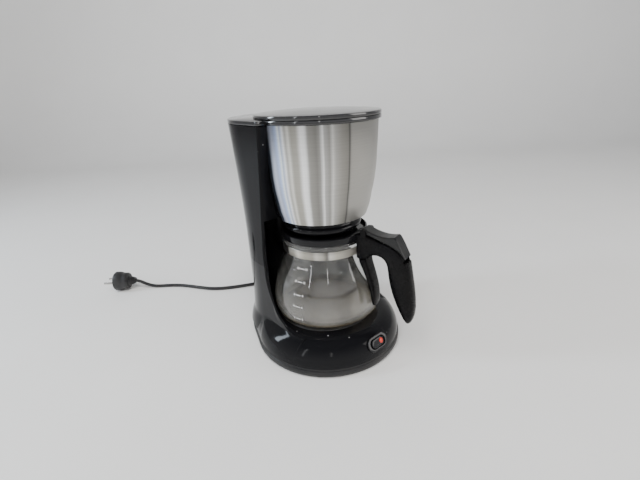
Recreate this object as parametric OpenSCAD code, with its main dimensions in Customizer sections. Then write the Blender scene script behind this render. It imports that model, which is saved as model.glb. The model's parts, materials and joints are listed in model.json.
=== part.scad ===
// Drip coffee maker with a glass jug. The hot plate's axis is the Z axis, the front faces -Y, and Z = 0 is
// the table.

/* [Base] */
// Half width of the base, at the jug
base_r = 106; // [104:0.5:108]
// Height of the matt skirt's top edge
skirt_top = 14; // [12:0.5:16]
// Height of the deck round the hot plate
deck_z = 46; // [44:0.5:47]
// Height of the rubber feet
foot_h = 4; // [3.5:0.5:4]

/* [Column and housing] */
// Half width of the column between the base and the filter housing
column_w = 84; // [83.5:0.1:85]
// Height of the seam between the base moulding and the upper housing
seam_z = 130; // [124:1:136]
// Height of the ceiling over the jug
ceiling_z = 195.5; // [194:0.5:197]
// Height of the housing's top edge
housing_top = 315; // [313:0.5:317]
// Thickness of the plastic shells
wall = 2.4; // [2.2:0.1:2.6]
// Thickness of the stainless band
steel_t = 0.8; // [0.6:0.1:0.8]

/* [Lid] */
// Radius of the round lid
lid_r = 79.5; // [79:0.5:80]
// Height of the lid's crown
lid_top = 329; // [328:0.5:331]

/* [Jug] */
// Widest radius of the glass
jug_r = 77.8; // [77:0.1:78.2]
// Thickness of the glass
glass_t = 2; // [1.6:0.1:2.4]
// Turn of the handle away from straight ahead, in degrees
handle_turn = 14; // [0:1:20]
// Width of the handle
handle_w = 23; // [20:0.5:25]

/* [Cord] */
// Diameter of the mains cord
cord_d = 6.2; // [6:0.1:6.4]

/* [Hidden] */
$fn = 96;

// --- base outline: a wide front circle and a narrower rear circle, joined by their tangents
front_y = -2.5;
rear_y = 42;
gap_y = rear_y - front_y;
side_sin = 0.352;
tangent = asin(side_sin);
base_rear_r = base_r - side_sin * gap_y;
side_len = gap_y * cos(tangent);
dome_in = 28;
arc_steps = 9;

// --- column
wing_y = 26;
wing_z = 120;
sweep_y = -45;
recess_r = 83;
rim_r = 88.3;
top_edge_y = -2;
flare = base_rear_r - column_w - 0.5;
top_flare = 6.5;
column_levels = [14, 20, 27, 35, 45, 56, 68, 80, 90, 130, 170, 200, 230, 260, 290, 316];
function column_half(z) =
  column_w + flare * pow(max(0, (90 - z) / 76), 2) + top_flare * pow(max(0, (z - 170) / 144), 1.5);

// --- filter housing: [radius, height] up the outside of the stainless band
band_profile = [[61.8, ceiling_z], [65.8, 209], [68.6, 224], [71.7, 240], [73.9, 260], [75.3, 288],
  [76.4, housing_top]];
band_half_angle = 95;
bowl_z = 178.6;
bowl_r = 54;
outlet_r = 13.5;
ledge_z = 297;

// --- hot plate
plate_r = 65;
plate_z = 50.7;
heater_z = 42;
heater_r = 4.5;
heater_leg_x = 24;
heater_end_y = 45;
hose_r = 4.2;
tank_port = [28, 96];
tank_floor = 58;
riser_y = 91;
riser_r = 4;
wire_r = 1.2;

// --- switch, in its own frame on the slope of the base
switch_turn = 34;
switch_r = base_r - dome_in + dome_in * cos(switch_turn);
switch_z = skirt_top + (deck_z - skirt_top) * sin(switch_turn);
switch_tilt = 59;
rocker_tilt = 6;

// --- lid hinge
hinge_y = 133.6;
hinge_z = 316;
hinge_r = 3;
pin_r = 1.5;
ear_x = 21;
ear_w = 10;
knuckle_w = 30.6;
deck_under = 315.7;
deck_top = 320.5;
channel_z = 309;

// --- filter basket and its drip stop
basket_wall = 1.8;
basket_floor = 186;
stem_r = 3.4;
drip_foot_z = 174;

// --- jug
jug_x = 2;
jug_y = -1.5;
jug_floor = 51;
neck_r = 57.6;
neck_z = 165;
lid_rim_z = 174.6;
lid_rim_r = 60;
lid_dish_z = 170.2;
spout_w = 51;
lid_boss_z = 173.6;
drip_hole_r = 4.5;
lever_axis = [68, 179.6];
lever_w = 18.6;
lever_pin_r = 1.26;
guard_w = 21;
screw_at = 67.4;
spring_at = 92;
spring_z = 162;

// --- cord: hand-placed route along the table
cord_z = 3.3;
coil_x = 62;
coil_y = 217;
coil_r = 44;
grip_z = 24;
lead_points = [[0, 147, grip_z], [0, 154, 23.4], [0.5, 161, 21.8], [2, 169, 19.4], [4.5, 178, 16.8],
  [8, 188, 14.6], [11.5, 198, 13], [13, 206, 12]];
run_points = [[24, 188, cord_z], [14, 195, cord_z], [2, 201, cord_z], [-11, 206, cord_z], [-33, 217, cord_z],
  [-49, 226, cord_z], [-65, 237, cord_z], [-79, 251, cord_z], [-91, 269, cord_z], [-103, 288, cord_z],
  [-116, 306, cord_z], [-131, 321, cord_z], [-146, 333, cord_z], [-157, 342, 5.2], [-166, 349.5, 9.8],
  [-173, 355.3, 15], [-180, 361, 18.4]];
plug_turn = 50;
plug_z = 18.6;

// A closed tube along points, with its end faces square to the first and last stretch.
module tube(points, r, sides = 8) {
  n = len(points);
  ahead = [for (i = [0:n - 1]) points[min(i + 1, n - 1)] - points[max(i - 1, 0)]];
  rings = [for (i = [0:n - 1]) let (
      f = ahead[i] / norm(ahead[i]),
      side0 = abs(f[2]) > 0.9 ? [1, 0, 0] : cross(f, [0, 0, 1]),
      side = side0 / norm(side0),
      up = cross(side, f))
    for (k = [0:sides - 1]) points[i] + r * (cos(360 * k / sides) * side + sin(360 * k / sides) * up)];
  skin = [for (i = [0:n - 2], k = [0:sides - 1]) let (a = i * sides + k, b = i * sides + (k + 1) % sides)
    each [[a, b, b + sides], [a, b + sides, a + sides]]];
  polyhedron(rings, concat([[for (k = [sides - 1:-1:0]) k]], skin,
    [[for (k = [0:sides - 1]) (n - 1) * sides + k]]), convexity = 6);
}

// A solid on the base's outline. Each profile point is [inset, height], from the bottom up.
module egg(profile) {
  ends = [profile[0][1], profile[len(profile) - 1][1]];
  module section(r) polygon(concat([[0, ends[0]]], [for (p = profile) [r - p[0], p[1]]], [[0, ends[1]]]));
  module behind(y) for (s = [0, 1]) mirror([s, 0, 0]) translate([0, y, 0]) rotate([0, 0, tangent])
    translate([-300, -300, -5]) cube([600, 300, 100]);
  difference() {
    translate([0, front_y, 0]) rotate_extrude() section(base_r);
    translate([0, front_y, 0]) rotate([0, 0, tangent]) intersection() {
      translate([-300, 0, -5]) cube([600, 300, 100]);
      rotate([0, 0, -2 * tangent]) translate([-300, 0, -5]) cube([600, 300, 100]);
    }
  }
  for (s = [0, 1]) mirror([s, 0, 0]) translate([0, front_y, 0]) rotate([0, 0, tangent])
    translate([0, side_len, 0]) rotate([90, 0, 0]) linear_extrude(side_len) section(base_r);
  difference() {
    translate([0, rear_y, 0]) rotate_extrude() section(base_rear_r);
    behind(rear_y);
  }
}

// The base's outline as a flat shape, moved in by t.
module egg_outline(t) {
  normal = [cos(tangent), sin(tangent)];
  front_end = [0, front_y] + (base_r - t - 0.05) * normal;
  rear_end = [0, rear_y] + (base_rear_r - t - 0.05) * normal;
  translate([0, front_y]) circle(r = base_r - t);
  translate([0, rear_y]) circle(r = base_rear_r - t);
  polygon([front_end, rear_end, [-rear_end[0], rear_end[1]], [-front_end[0], front_end[1]]]);
}

// The dome's quarter ellipse, moved in by t.
function dome_profile(t) = [for (i = [0:arc_steps]) let (a = 90 * i / arc_steps)
  [t + (dome_in) * (1 - cos(a)), skirt_top + (deck_z - t - skirt_top) * sin(a)]];

// A profile of the band, moved in by t and extended by e at both ends.
function band_inside(t) = [for (p = band_profile) [p[0] - t, p[1]]];

// The space that the housing and the jug need in front of the column, grown by t.
module front_room(t) {
  sweep = [for (a = [90:-10:0])
    [t + sweep_y + (wing_y - sweep_y) * cos(a), wing_z - (wing_z - deck_z + t) * sin(a)]];
  rise = [[t + wing_y, 150], [t + 20, ceiling_z], [t + top_edge_y, housing_top],
    [t + top_edge_y, housing_top + 10], [-120, housing_top + 10]];
  translate([0, 0, deck_z - t]) cylinder(r = recess_r + t, h = ceiling_z - deck_z + 2 * t);
  rotate_extrude() polygon(concat([[0, ceiling_z - 1]], [for (p = band_profile) [p[0] + 0.3 + t, p[1]]],
    [[band_profile[6][0] + 0.3 + t, housing_top + 10], [0, housing_top + 10]]));
  rotate([90, 0, 90]) translate([0, 0, -120]) linear_extrude(240)
    polygon(concat([[-120, deck_z - t]], sweep, rise));
}

// The column's outer form, moved in by t, between two heights.
module column_form(t, z0, z1) {
  side = [for (z = concat([z0], [for (l = column_levels) if (l > z0 && l < z1) l], [z1]))
    [column_half(z) - t, z]];
  difference() {
    union() {
      translate([0, rear_y, 0]) rotate_extrude(angle = 180) polygon(concat([[0, z0]], side, [[0, z1]]));
      intersection() {
        translate([0, rear_y, 0]) rotate([90, 0, 0]) linear_extrude(rear_y - sweep_y)
          polygon(concat(side, [for (i = [len(side) - 1:-1:0]) [-side[i][0], side[i][1]]]));
        union() {
          translate([0, front_y, 0]) cylinder(r = rim_r - t, h = 400);
          translate([-120, 8, 0]) cube([240, 100, 400]);
          translate([-120, -120, wing_z]) cube([240, 240, 400]);
        }
      }
    }
    front_room(t);
  }
}

module foot(x, y) color("dimgray") translate([x, y, 0]) {
  cylinder(r = 8, h = foot_h);
  translate([0, 0, foot_h]) cylinder(r = 3, h = 3.2);
}
module foot_1() foot(-72, -52);
module foot_2() foot(72, -52);
module foot_3() foot(-62, 92);
module foot_4() foot(62, 92);
foot_places = [[-72, -52], [72, -52], [-62, 92], [62, 92]];
screw_places = [[0, -92], [-88, 10], [88, 10], [-30, 116], [30, 116]];

module bottom_plate() color("#242424") difference() {
  union() {
    translate([0, 0, foot_h]) linear_extrude(2.6) egg_outline(2.1);
    for (p = screw_places) translate([p[0], p[1], foot_h + 1]) cylinder(r = 5, h = 6.5);
  }
  for (p = foot_places) translate([p[0], p[1], 0]) cylinder(r = 3.05, h = 20);
  for (p = screw_places) translate([p[0], p[1], 0]) {
    cylinder(r = 2, h = 20);
    cylinder(r = 3.8, h = foot_h + 3);
  }
  for (i = [-4:4]) translate([i * 9 - 2, -20, 0]) cube([4, 40, 20]);
}

module base_screws() color("#9a9a9a") for (p = screw_places) translate([p[0], p[1], foot_h + 1.2]) {
  cylinder(r = 3.4, h = 1.8);
  cylinder(r = 1.8, h = 11);
}

module base_skirt() color("#2c2c2e") difference() {
  union() {
    translate([0, 0, 2]) linear_extrude(1.6) egg_outline(-0.4);
    translate([0, 0, 3.6]) linear_extrude(7.4) egg_outline(-1.6);
    translate([0, 0, 11]) linear_extrude(skirt_top - 11) egg_outline(-0.6);
  }
  translate([0, 0, 1]) linear_extrude(skirt_top) egg_outline(2);
}

module base_shell() color("#101114") difference() {
  union() {
    egg(dome_profile(0));
    column_form(0, skirt_top + 1.3, seam_z);
  }
  egg(concat([[wall, skirt_top - 1]], dome_profile(wall)));
  column_form(wall, skirt_top - 1, seam_z + 1);
  cylinder(r = plate_r + 3, h = deck_z + 4);
  switch_frame() translate([0, 0, -14]) linear_extrude(20) stadium(31, 16.6);
  translate([0, 115, grip_z]) rotate([-90, 0, 0]) cylinder(r = 5.2, h = 30);
}

module plate_gasket() color("#3a3a3a") rotate_extrude()
  polygon([[plate_r + 0.1, 42.4], [plate_r + 4.6, 42.4], [plate_r + 4.6, 43.5], [plate_r + 2.9, 43.5],
    [plate_r + 2.9, deck_z + 0.1], [plate_r + 4.2, deck_z + 0.1], [plate_r + 3.6, deck_z + 1.5],
    [plate_r + 0.1, deck_z + 2.2]]);

module hot_plate() color("#4a4a4c") rotate_extrude()
  polygon([[0, 49.2], [plate_r - 2.4, 49.2], [plate_r - 1.5, 48.4], [plate_r - 1.5, 41], [plate_r, 41],
    [plate_r, 49.2], [plate_r - 1.5, plate_z], [0, plate_z]]);

module heat_spreader() color("silver") translate([0, 0, heater_z + heater_r]) cylinder(r = 54, h = 2.7);

module heater_tube() color("#b8b8b8") {
  rotate([0, 0, 120]) rotate_extrude(angle = 300) translate([48, heater_z]) circle(r = heater_r, $fn = 32);
  for (s = [-1, 1]) translate([s * heater_leg_x, 40, heater_z]) rotate([-90, 0, 0])
    cylinder(r = heater_r, h = heater_end_y - 40, $fn = 32);
}

module spreader_clip() color("#8d8d8d") difference() {
  translate([-58, -4, 35.4]) cube([116, 8, 2]);
  for (x = [-53, 53]) translate([x, 0, 30]) cylinder(r = 1.6, h = 10);
}

module thermostat() color("#c9b48a") translate([0, -26, 0]) {
  translate([0, 0, 36]) cylinder(r = 7.5, h = 10.5);
  translate([0, 0, 33]) cylinder(r = 5.5, h = 3);
  for (x = [-3.5, 3.5]) translate([x - 0.4, -2, 28]) cube([0.8, 4, 5]);
}

module thermal_fuses() color("#e8e4da") for (x = [-14, 14]) translate([x, 8, 33]) rotate([-90, 0, 0])
  cylinder(r = 2, h = 24);

module check_valve() color("#e9e9e2") translate([tank_port[0], tank_port[1], 42]) {
  cylinder(r = 3, h = 15.6);
  translate([0, 0, 2]) cylinder(r = 4.6, h = 7);
}

module inlet_hose() color("#d9d4c8") tube([[heater_leg_x, heater_end_y + 0.1, heater_z],
  [heater_leg_x, 47, heater_z], [24, 50.5, 40.8], [24, 53.5, 37.8], [24, 56.5, 35], [24.1, 61, 33.4],
  [24.3, 70, 32.6], [24.8, 80, 32.2], [26, 88, 32.6], [27.4, 94, 35.4], [28, 96, 39.4],
  [tank_port[0], tank_port[1], 41.9]], hose_r, 10);

module riser_tube() color("#d9d4c8") {
  tube([[-heater_leg_x, heater_end_y + 0.1, heater_z], [-heater_leg_x, 47, heater_z], [-24, 50.5, 40.8],
    [-23.8, 53.5, 37.8], [-23, 57, 35.2], [-21, 63, 34], [-17, 71, 34], [-11, 79, 34.6], [-5, 86, 36.8],
    [-1.2, 90, 40.4], [0, riser_y, 44]], riser_r, 10);
  translate([0, riser_y, 43.8]) cylinder(r = riser_r, h = channel_z - 44.2, $fn = 32);
}

module stadium(l, w) {
  for (s = [-1, 1]) translate([s * (l - w) / 2, 0]) circle(d = w);
  square([l - w, w], center = true);
}
module switch_frame() translate([0, front_y - switch_r, switch_z]) rotate([switch_tilt, 0, 0]) children();

module switch_bezel() color("#1b1b1d") switch_frame() difference() {
  union() {
    translate([0, 0, 0.1]) linear_extrude(1.6) stadium(36, 20);
    translate([0, 0, -9]) linear_extrude(9.2) stadium(30, 15.8);
  }
  translate([0, 0, -10]) linear_extrude(12) stadium(27, 12.8);
}

module switch_box() color("#cfcac0") switch_frame() translate([-12, -7, -16.5]) cube([24, 14, 7.48]);

module rocker_pose() switch_frame() translate([0, 0, -5]) rotate([0, rocker_tilt, 0]) children();
module switch_rocker() color("#0e0e10") rocker_pose() difference() {
  union() {
    translate([0, 0, 0.6]) linear_extrude(6) stadium(25, 11.6);
    translate([0, 5.7, 0]) rotate([90, 0, 0]) cylinder(r = 1.6, h = 11.4);
  }
  translate([6, 0, 4.6]) cylinder(r = 3.6, h = 4);
}
module switch_lamp() color("#d8291c") rocker_pose() translate([6, 0, 4.7]) {
  cylinder(r = 3.5, h = 2);
  translate([0, 0, 2]) cylinder(r1 = 3.5, r2 = 2.4, h = 0.7);
}

module lead_wires() color("#6b4a2f") for (s = [-1, 1])
  tube([[s * 2, 123.5, grip_z], [s * 2.4, 121, 23], [s * 5, 115, 18], [s * 18, 100, 12], [s * 46, 60, 10.6],
    [s * 58, 10, 10.6], [s * 44, -40, 10.6], [s * 20, -74, 12], [s * 9, -81, 16.5], [s * 8, -86.1, 21.3],
    [s * 8, -89.48, 23.34]], wire_r, 6);

module column_shell() color("#0d0e11") difference() {
  union() {
    difference() {
      column_form(0, seam_z + 0.3, housing_top);
      column_form(wall, seam_z - 1, housing_top + 1);
    }
    for (s = [-1, 1]) translate([s * ear_x - ear_w / 2, 0, 0]) {
      translate([0, 126, 308]) cube([ear_w, hinge_y - 126, 8]);
      translate([0, hinge_y, hinge_z]) rotate([0, 90, 0]) cylinder(r = hinge_r, h = ear_w, $fn = 32);
    }
  }
  translate([-15.7, 120, 311.5]) cube([31.4, 20, 10]);
  for (s = [-1, 1]) translate([s * ear_x - 6, 120, housing_top]) cube([12, 9.6, 10]);
  translate([-30, hinge_y, hinge_z]) rotate([0, 90, 0]) cylinder(r = pin_r, h = 60, $fn = 32);
  translate([-9.5, 70, channel_z - 1]) cube([19, 14, 20]);
}

module tank_form(t, z0, z1) difference() {
  column_form(t, z0, z1);
  translate([-120, -120, 0]) cube([240, 160 + t - 2.9, 400]);
  translate([-5.1 - t, 0, 0]) cube([10.2 + 2 * t, 94 + t, 400]);
}
module water_tank() color("#8f949a") difference() {
  union() {
    tank_form(2.9, tank_floor, 306);
    translate([tank_port[0], tank_port[1], tank_floor - 6]) cylinder(r = 5.6, h = 6.5);
  }
  tank_form(4.9, tank_floor + 2, 307);
  translate([tank_port[0], tank_port[1], tank_floor - 8]) cylinder(r = 4.3, h = 12);
}

module filter_housing() color("#0b0b0d") difference() {
  rotate_extrude() {
    polygon(concat([[outlet_r, bowl_z], [bowl_r - 4, bowl_z], [bowl_r - 1, bowl_z + 1.4],
      [bowl_r, bowl_z + 3.4], [bowl_r - 0.6, bowl_z + 6.4], [bowl_r - 3.4, bowl_z + 10],
      [bowl_r - 4, ceiling_z - 0.9]],
      band_inside(steel_t + 0.1),
      [for (i = [6:-1:1]) [band_profile[i][0] - 3.2, band_profile[i][1]]],
      [[59, ceiling_z + 3], [bowl_r - 6.4, ceiling_z + 1.6], [bowl_r - 6, bowl_z + 10.4],
       [bowl_r - 3, bowl_z + 6], [bowl_r - 2.8, bowl_z + 4], [bowl_r - 4.8, bowl_z + 2.4],
       [outlet_r, bowl_z + 2.4]]));
    polygon([[68.5, ledge_z - 3], [72.4, ledge_z - 6], [73, ledge_z], [68.5, ledge_z]]);
  }
  translate([-9.5, 66, channel_z - 1]) cube([19, 14, 20]);
}

module steel_band() color("#c9c9c6") rotate([0, 0, 270 - band_half_angle])
  rotate_extrude(angle = 2 * band_half_angle)
    polygon(concat(band_profile, [for (i = [6:-1:0]) [band_profile[i][0] - steel_t, band_profile[i][1]]]));

module hinge_pin() color("#b0b0b0") translate([-25.8, hinge_y, hinge_z]) rotate([0, 90, 0])
  cylinder(r = pin_r - 0.05, h = 51.6, $fn = 32);

module cord_grip() color("#151515") translate([0, 0, grip_z]) rotate([-90, 0, 0]) {
  translate([0, 0, 124]) cylinder(r = 5, h = 8.4);
  translate([0, 0, 132.4]) cylinder(r = 7.5, h = 2);
  translate([0, 0, 134.4]) cylinder(r1 = 5.5, r2 = 4.2, h = 12.6);
}
module cord_lead() color("#1a1a1a") tube(lead_points, cord_d / 2, 8);
module cord_run() color("#1a1a1a") tube(run_points, cord_d / 2, 8);
module cord_coil() color("#1a1a1a") translate([coil_x, coil_y, 0]) rotate_extrude()
  translate([coil_r, 0])
    polygon([[-5, 0], [5, 0], [7.2, 2.4], [7.2, 9.6], [4, 13], [-4, 13], [-7.2, 9.6], [-7.2, 2.4]]);
module plug_frame() translate([-180, 361, plug_z]) rotate([0, 0, plug_turn]) rotate([-90, 0, 0]) children();
module plug_body() color("#161616") plug_frame() {
  cylinder(r1 = 6, r2 = 10, h = 12);
  translate([0, 0, 12]) cylinder(r1 = 15, r2 = 18.2, h = 10);
  translate([0, 0, 22]) cylinder(r = 18.5, h = 16);
}
module plug_pins() color("#c8c8c8") plug_frame() for (x = [-9.5, 9.5]) translate([x, 0, 38])
  cylinder(r = 2.4, h = 19, $fn = 32);

// --- lid: a flat deck on the housing's outline, with the round lid proper raised on it
module deck_outline(t) {
  circle(r = lid_r - t);
  translate([0, rear_y]) circle(r = column_half(housing_top) - t);
  translate([-column_half(housing_top) + t, top_edge_y + t])
    square([2 * (column_half(housing_top) - t), rear_y - top_edge_y - t]);
}
module lid_deck() color("#111214") difference() {
  union() {
    translate([0, 0, deck_under]) linear_extrude(deck_top - deck_under) deck_outline(0);
    translate([-knuckle_w / 2, 0, 0]) {
      translate([0, hinge_y, hinge_z]) rotate([0, 90, 0]) cylinder(r = hinge_r, h = knuckle_w, $fn = 32);
      translate([0, 126, deck_under]) cube([knuckle_w, hinge_y - 126, 3.3]);
    }
  }
  translate([0, 0, deck_under - 1]) linear_extrude(3) difference() {
    deck_outline(2.5);
    translate([-16, 124]) square([32, 12]);
  }
  for (s = [-1, 1]) translate([s * ear_x - 5.6, 129.4, deck_under - 1]) cube([11.2, 10, 10]);
  translate([-17, hinge_y, hinge_z]) rotate([0, 90, 0]) cylinder(r = pin_r + 0.02, h = 34, $fn = 32);
}
module lid_disc() color("#0c0d0f") rotate_extrude()
  polygon([[lid_r - 3, deck_top + 0.05], [lid_r - 1, deck_top + 0.05], [lid_r, deck_top + 1], [lid_r, 324.2],
    [lid_r - 1.6, 325.4], [62, 326.9], [42, 328.1], [20, 328.8], [0, lid_top], [0, lid_top - wall],
    [20, 328.8 - wall], [42, 328.1 - wall], [62, 326.9 - wall], [lid_r - 3, 325.2 - wall]]);
module lid_channel() color("#1a1a1c") difference() {
  translate([-8, -8, channel_z]) cube([16, 105, 8.6]);
  translate([-6.2, -6.2, channel_z + 1.6]) cube([12.4, 101.4, 8]);
  translate([0, riser_y, channel_z - 1]) cylinder(r = 4.4, h = 4);
  translate([0, 0, channel_z - 1]) cylinder(r = 4.5, h = 4);
}
module shower_plate() color("#202022") difference() {
  translate([0, 0, channel_z + 0.4]) cylinder(r = 40, h = 1.6);
  translate([-8.1, -8.1, channel_z - 1]) cube([16.2, 60, 8]);
  for (ring = [[6, 14], [10, 23], [16, 32]]) for (k = [0:ring[0] - 1])
    rotate([0, 0, 360 * (k + 0.5) / ring[0]]) translate([0, -ring[1], channel_z - 1])
      cylinder(r = 1.1, h = 4, $fn = 16);
}

// --- filter basket and its drip stop
module filter_basket() color("#1c1c1e") difference() {
  rotate_extrude() polygon([[0, basket_floor], [9.6, basket_floor], [9.6, 180], [12, 180], [12, basket_floor],
    [36, basket_floor], [40, 190], [66, 293], [67.6, ledge_z + 0.2], [72.2, ledge_z + 0.2], [72.2, 299.4],
    [66, 299.4], [66 - basket_wall, 293.4], [40 - basket_wall, 191.2], [35, basket_floor + 2],
    [0, basket_floor + 2]]);
  cylinder(r = stem_r + 0.8, h = 400);
  for (k = [0:5]) rotate([0, 0, 60 * k]) translate([22, 0, 180]) cylinder(r = 1.2, h = 20, $fn = 16);
}
module basket_tabs() color("#1c1c1e") for (s = [-1, 1]) translate([s * 69.2 - 1, -9, 299.4]) cube([2, 18, 6]);
module valve_plunger() color("#d6d6d0") {
  translate([0, 0, drip_foot_z]) cylinder(r = 8, h = 2.4);
  translate([0, 0, drip_foot_z + 2.4]) cylinder(r = stem_r, h = 16);
  translate([0, 0, drip_foot_z + 18.4]) cylinder(r = 6.5, h = 1.6);
}
module valve_spring() color("#bdbdbd") tube([for (i = [0:40]) let (a = 36 * i)
  [5.6 * cos(a), 5.6 * sin(a), drip_foot_z + 3 + 8.2 * i / 40]], 0.4, 6);

// --- jug, in a frame turned so that the handle lies along -Y
module jug_frame() translate([jug_x, jug_y, 0]) rotate([0, 0, handle_turn]) children();
jug_outside = [[0, jug_floor + 0.6], [56, jug_floor], [66, jug_floor + 0.2], [72, jug_floor + 2.2],
  [75.6, jug_floor + 6.5], [jug_r - 0.6, jug_floor + 13], [jug_r, 72], [jug_r - 0.7, 82], [74.6, 96],
  [70.2, 111], [65.4, 123], [61.2, 132], [58.4, 140], [neck_r, 146], [neck_r, neck_z]];
module jug_glass() color("#b9c2c2", 0.4) jug_frame() rotate_extrude() polygon(concat(jug_outside,
  [for (i = [14:-1:5]) [jug_outside[i][0] - glass_t, jug_outside[i][1]]],
  [[73.2, jug_floor + 7.6], [70.6, jug_floor + 4.6], [65.4, jug_floor + 2.6], [0, jug_floor + 3]]));
module jug_band() color("#c4c4c2") jug_frame() rotate_extrude()
  polygon([[neck_r + 0.1, 146.4], [neck_r + 1.2, 146.4], [neck_r + 1.2, 157.4], [neck_r + 0.1, 157.4]]);
module jug_lid() color("#0f0f11") jug_frame() difference() {
  union() {
    rotate_extrude() polygon([[0, lid_boss_z - wall], [8, lid_boss_z - wall], [54.6, 167.8], [54.6, 160],
      [neck_r - glass_t - 0.3, 160], [neck_r - glass_t - 0.3, neck_z + 0.3], [lid_rim_r - 0.8, neck_z + 0.3],
      [lid_rim_r, neck_z + 1.2], [lid_rim_r, lid_rim_z - 1], [lid_rim_r - 1, lid_rim_z],
      [lid_rim_r - 2.4, lid_rim_z], [lid_rim_r - 4.6, lid_dish_z], [8, lid_boss_z], [0, lid_boss_z]]);
    intersection() {
      side_view([[44, 169], [44, 169.6], [50, 172.4], [56, 176.4], [60, 179.4], [63.3, 181], [63.3, 176.6],
        [57.6, 176.3], [57.6, 169]], 60);
      linear_extrude(400) polygon([[-25, -43], [-22, -51], [-12, -58], [-9.4, -64], [9.4, -64], [12, -58],
        [22, -51], [25, -43]]);
    }
  }
  cylinder(r = drip_hole_r, h = 400);
  translate([-spout_w / 2, 40, lid_dish_z]) cube([spout_w, 40, 10]);
}

// Side views of the handle's pieces: [distance from the jug's axis, height].
handle_side = [[58.4, 176], [80, 172.6], [105, 168], [118, 161.5], [126.5, 155], [128.8, 146], [131.8, 131],
  [134.6, 116], [137, 100], [138.4, 85], [137.6, 71.4], [134.8, 62.5], [130, 58.4], [124, 65.6], [117, 78],
  [109, 96], [103.4, 116], [100.6, 134], [98.4, 142], [94, 146.8], [88, 149], [81, 148.4], [75.6, 145],
  [71.6, 140.2], [58.4, 140.2]];
lever_channel = [[62.5, 190], [62.5, 173.4], [72, 173.6], [87, 168.2], [103.5, 161.8], [115.6, 153.8],
  [120.6, 146.2], [150, 146.2], [150, 190]];
guard_side = [[60.4, 140], [61, 136], [63.4, 130], [67, 122.4], [71.4, 111.6], [75.8, 96.4], [78.4, 84],
  [79.2, 77], [80.4, 72.6], [82.6, 71], [84.4, 72.6], [85.2, 77], [85.4, 88], [83.2, 102], [79, 116],
  [74, 130], [71, 140]];
lever_side = [[64, 181.6], [68, 184.2], [74, 181], [83, 178.4], [94, 177], [104, 177.8], [110, 179.2],
  [113, 176.8], [118, 168.5], [122, 160.5], [126, 153.6], [124.6, 152.4], [118.4, 159.4], [105, 166.4],
  [88, 171.4], [72, 175.8], [64, 179.2]];
module side_view(points, w) translate([-w / 2, 0, 0]) rotate([90, 0, 90]) linear_extrude(w)
  polygon([for (p = points) [-p[0], p[1]]]);
module jug_handle() color("#1d1d1f") jug_frame() difference() {
  union() {
    difference() {
      side_view(handle_side, handle_w);
      side_view(lever_channel, lever_w + 0.6);
    }
    for (s = [-1, 1]) translate([s * 10.5 - 1, -72, 170]) cube([2, 8, 12.4]);
  }
  translate([0, -spring_at, spring_z]) cylinder(r = 3, h = 10, $fn = 32);
  translate([0, 0, 100]) cylinder(r = neck_r + 1.5, h = 58);
  translate([0, 0, 150]) cylinder(r = neck_r + 0.3, h = 40);
  translate([0, 0, neck_z]) cylinder(r = lid_rim_r + 0.3, h = 20);
  translate([-20, -lever_axis[0], lever_axis[1]]) rotate([0, 90, 0])
    cylinder(r = lever_pin_r + 0.04, h = 40, $fn = 32);
  translate([0, -screw_at, 138]) cylinder(r = 1.6, h = 12, $fn = 32);
}
module jug_guard() color("#1a1a1c") jug_frame() difference() {
  side_view(guard_side, guard_w);
  translate([0, -screw_at, 125]) cylinder(r = 1.9, h = 20, $fn = 32);
  translate([0, -screw_at, 118]) cylinder(r = 3.4, h = 16, $fn = 32);
}
module guard_screw() color("#8a8a8a") jug_frame() translate([0, -screw_at, 132]) {
  cylinder(r = 3.2, h = 2, $fn = 32);
  cylinder(r = 1.5, h = 16, $fn = 32);
}
module thumb_lever() color("#2a2a2c") jug_frame() difference() {
  side_view(lever_side, lever_w);
  translate([-20, -lever_axis[0], lever_axis[1]]) rotate([0, 90, 0])
    cylinder(r = lever_pin_r + 0.04, h = 40, $fn = 32);
}
module lever_pin() color("#a5a5a5") jug_frame() translate([-11.4, -lever_axis[0], lever_axis[1]])
  rotate([0, 90, 0]) cylinder(r = lever_pin_r, h = 22.8, $fn = 32);
module lever_spring() color("#b5b5b5") jug_frame() tube([for (i = [0:30]) let (a = 60 * i)
  [2.2 * cos(a), -spring_at + 2.2 * sin(a), spring_z + 0.5 + 6.5 * i / 30]], 0.35, 6);

foot_1();
foot_2();
foot_3();
foot_4();
bottom_plate();
base_screws();
base_skirt();
base_shell();
plate_gasket();
hot_plate();
heat_spreader();
heater_tube();
spreader_clip();
thermostat();
thermal_fuses();
check_valve();
inlet_hose();
riser_tube();
switch_bezel();
switch_box();
lead_wires();
column_shell();
water_tank();
filter_housing();
steel_band();
hinge_pin();
cord_grip();
cord_lead();
cord_coil();
cord_run();
plug_body();
plug_pins();
lid_deck();
lid_disc();
lid_channel();
shower_plate();
filter_basket();
basket_tabs();
valve_plunger();
valve_spring();
switch_rocker();
switch_lamp();
jug_glass();
jug_band();
jug_lid();
jug_handle();
jug_guard();
guard_screw();
thumb_lever();
lever_pin();
lever_spring();
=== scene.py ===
"""Drip coffee maker with a glass jug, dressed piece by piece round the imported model."""
import json
import math
from math import sin, cos, pi, radians
import bpy
import bmesh
from mathutils import Vector, Matrix

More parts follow.
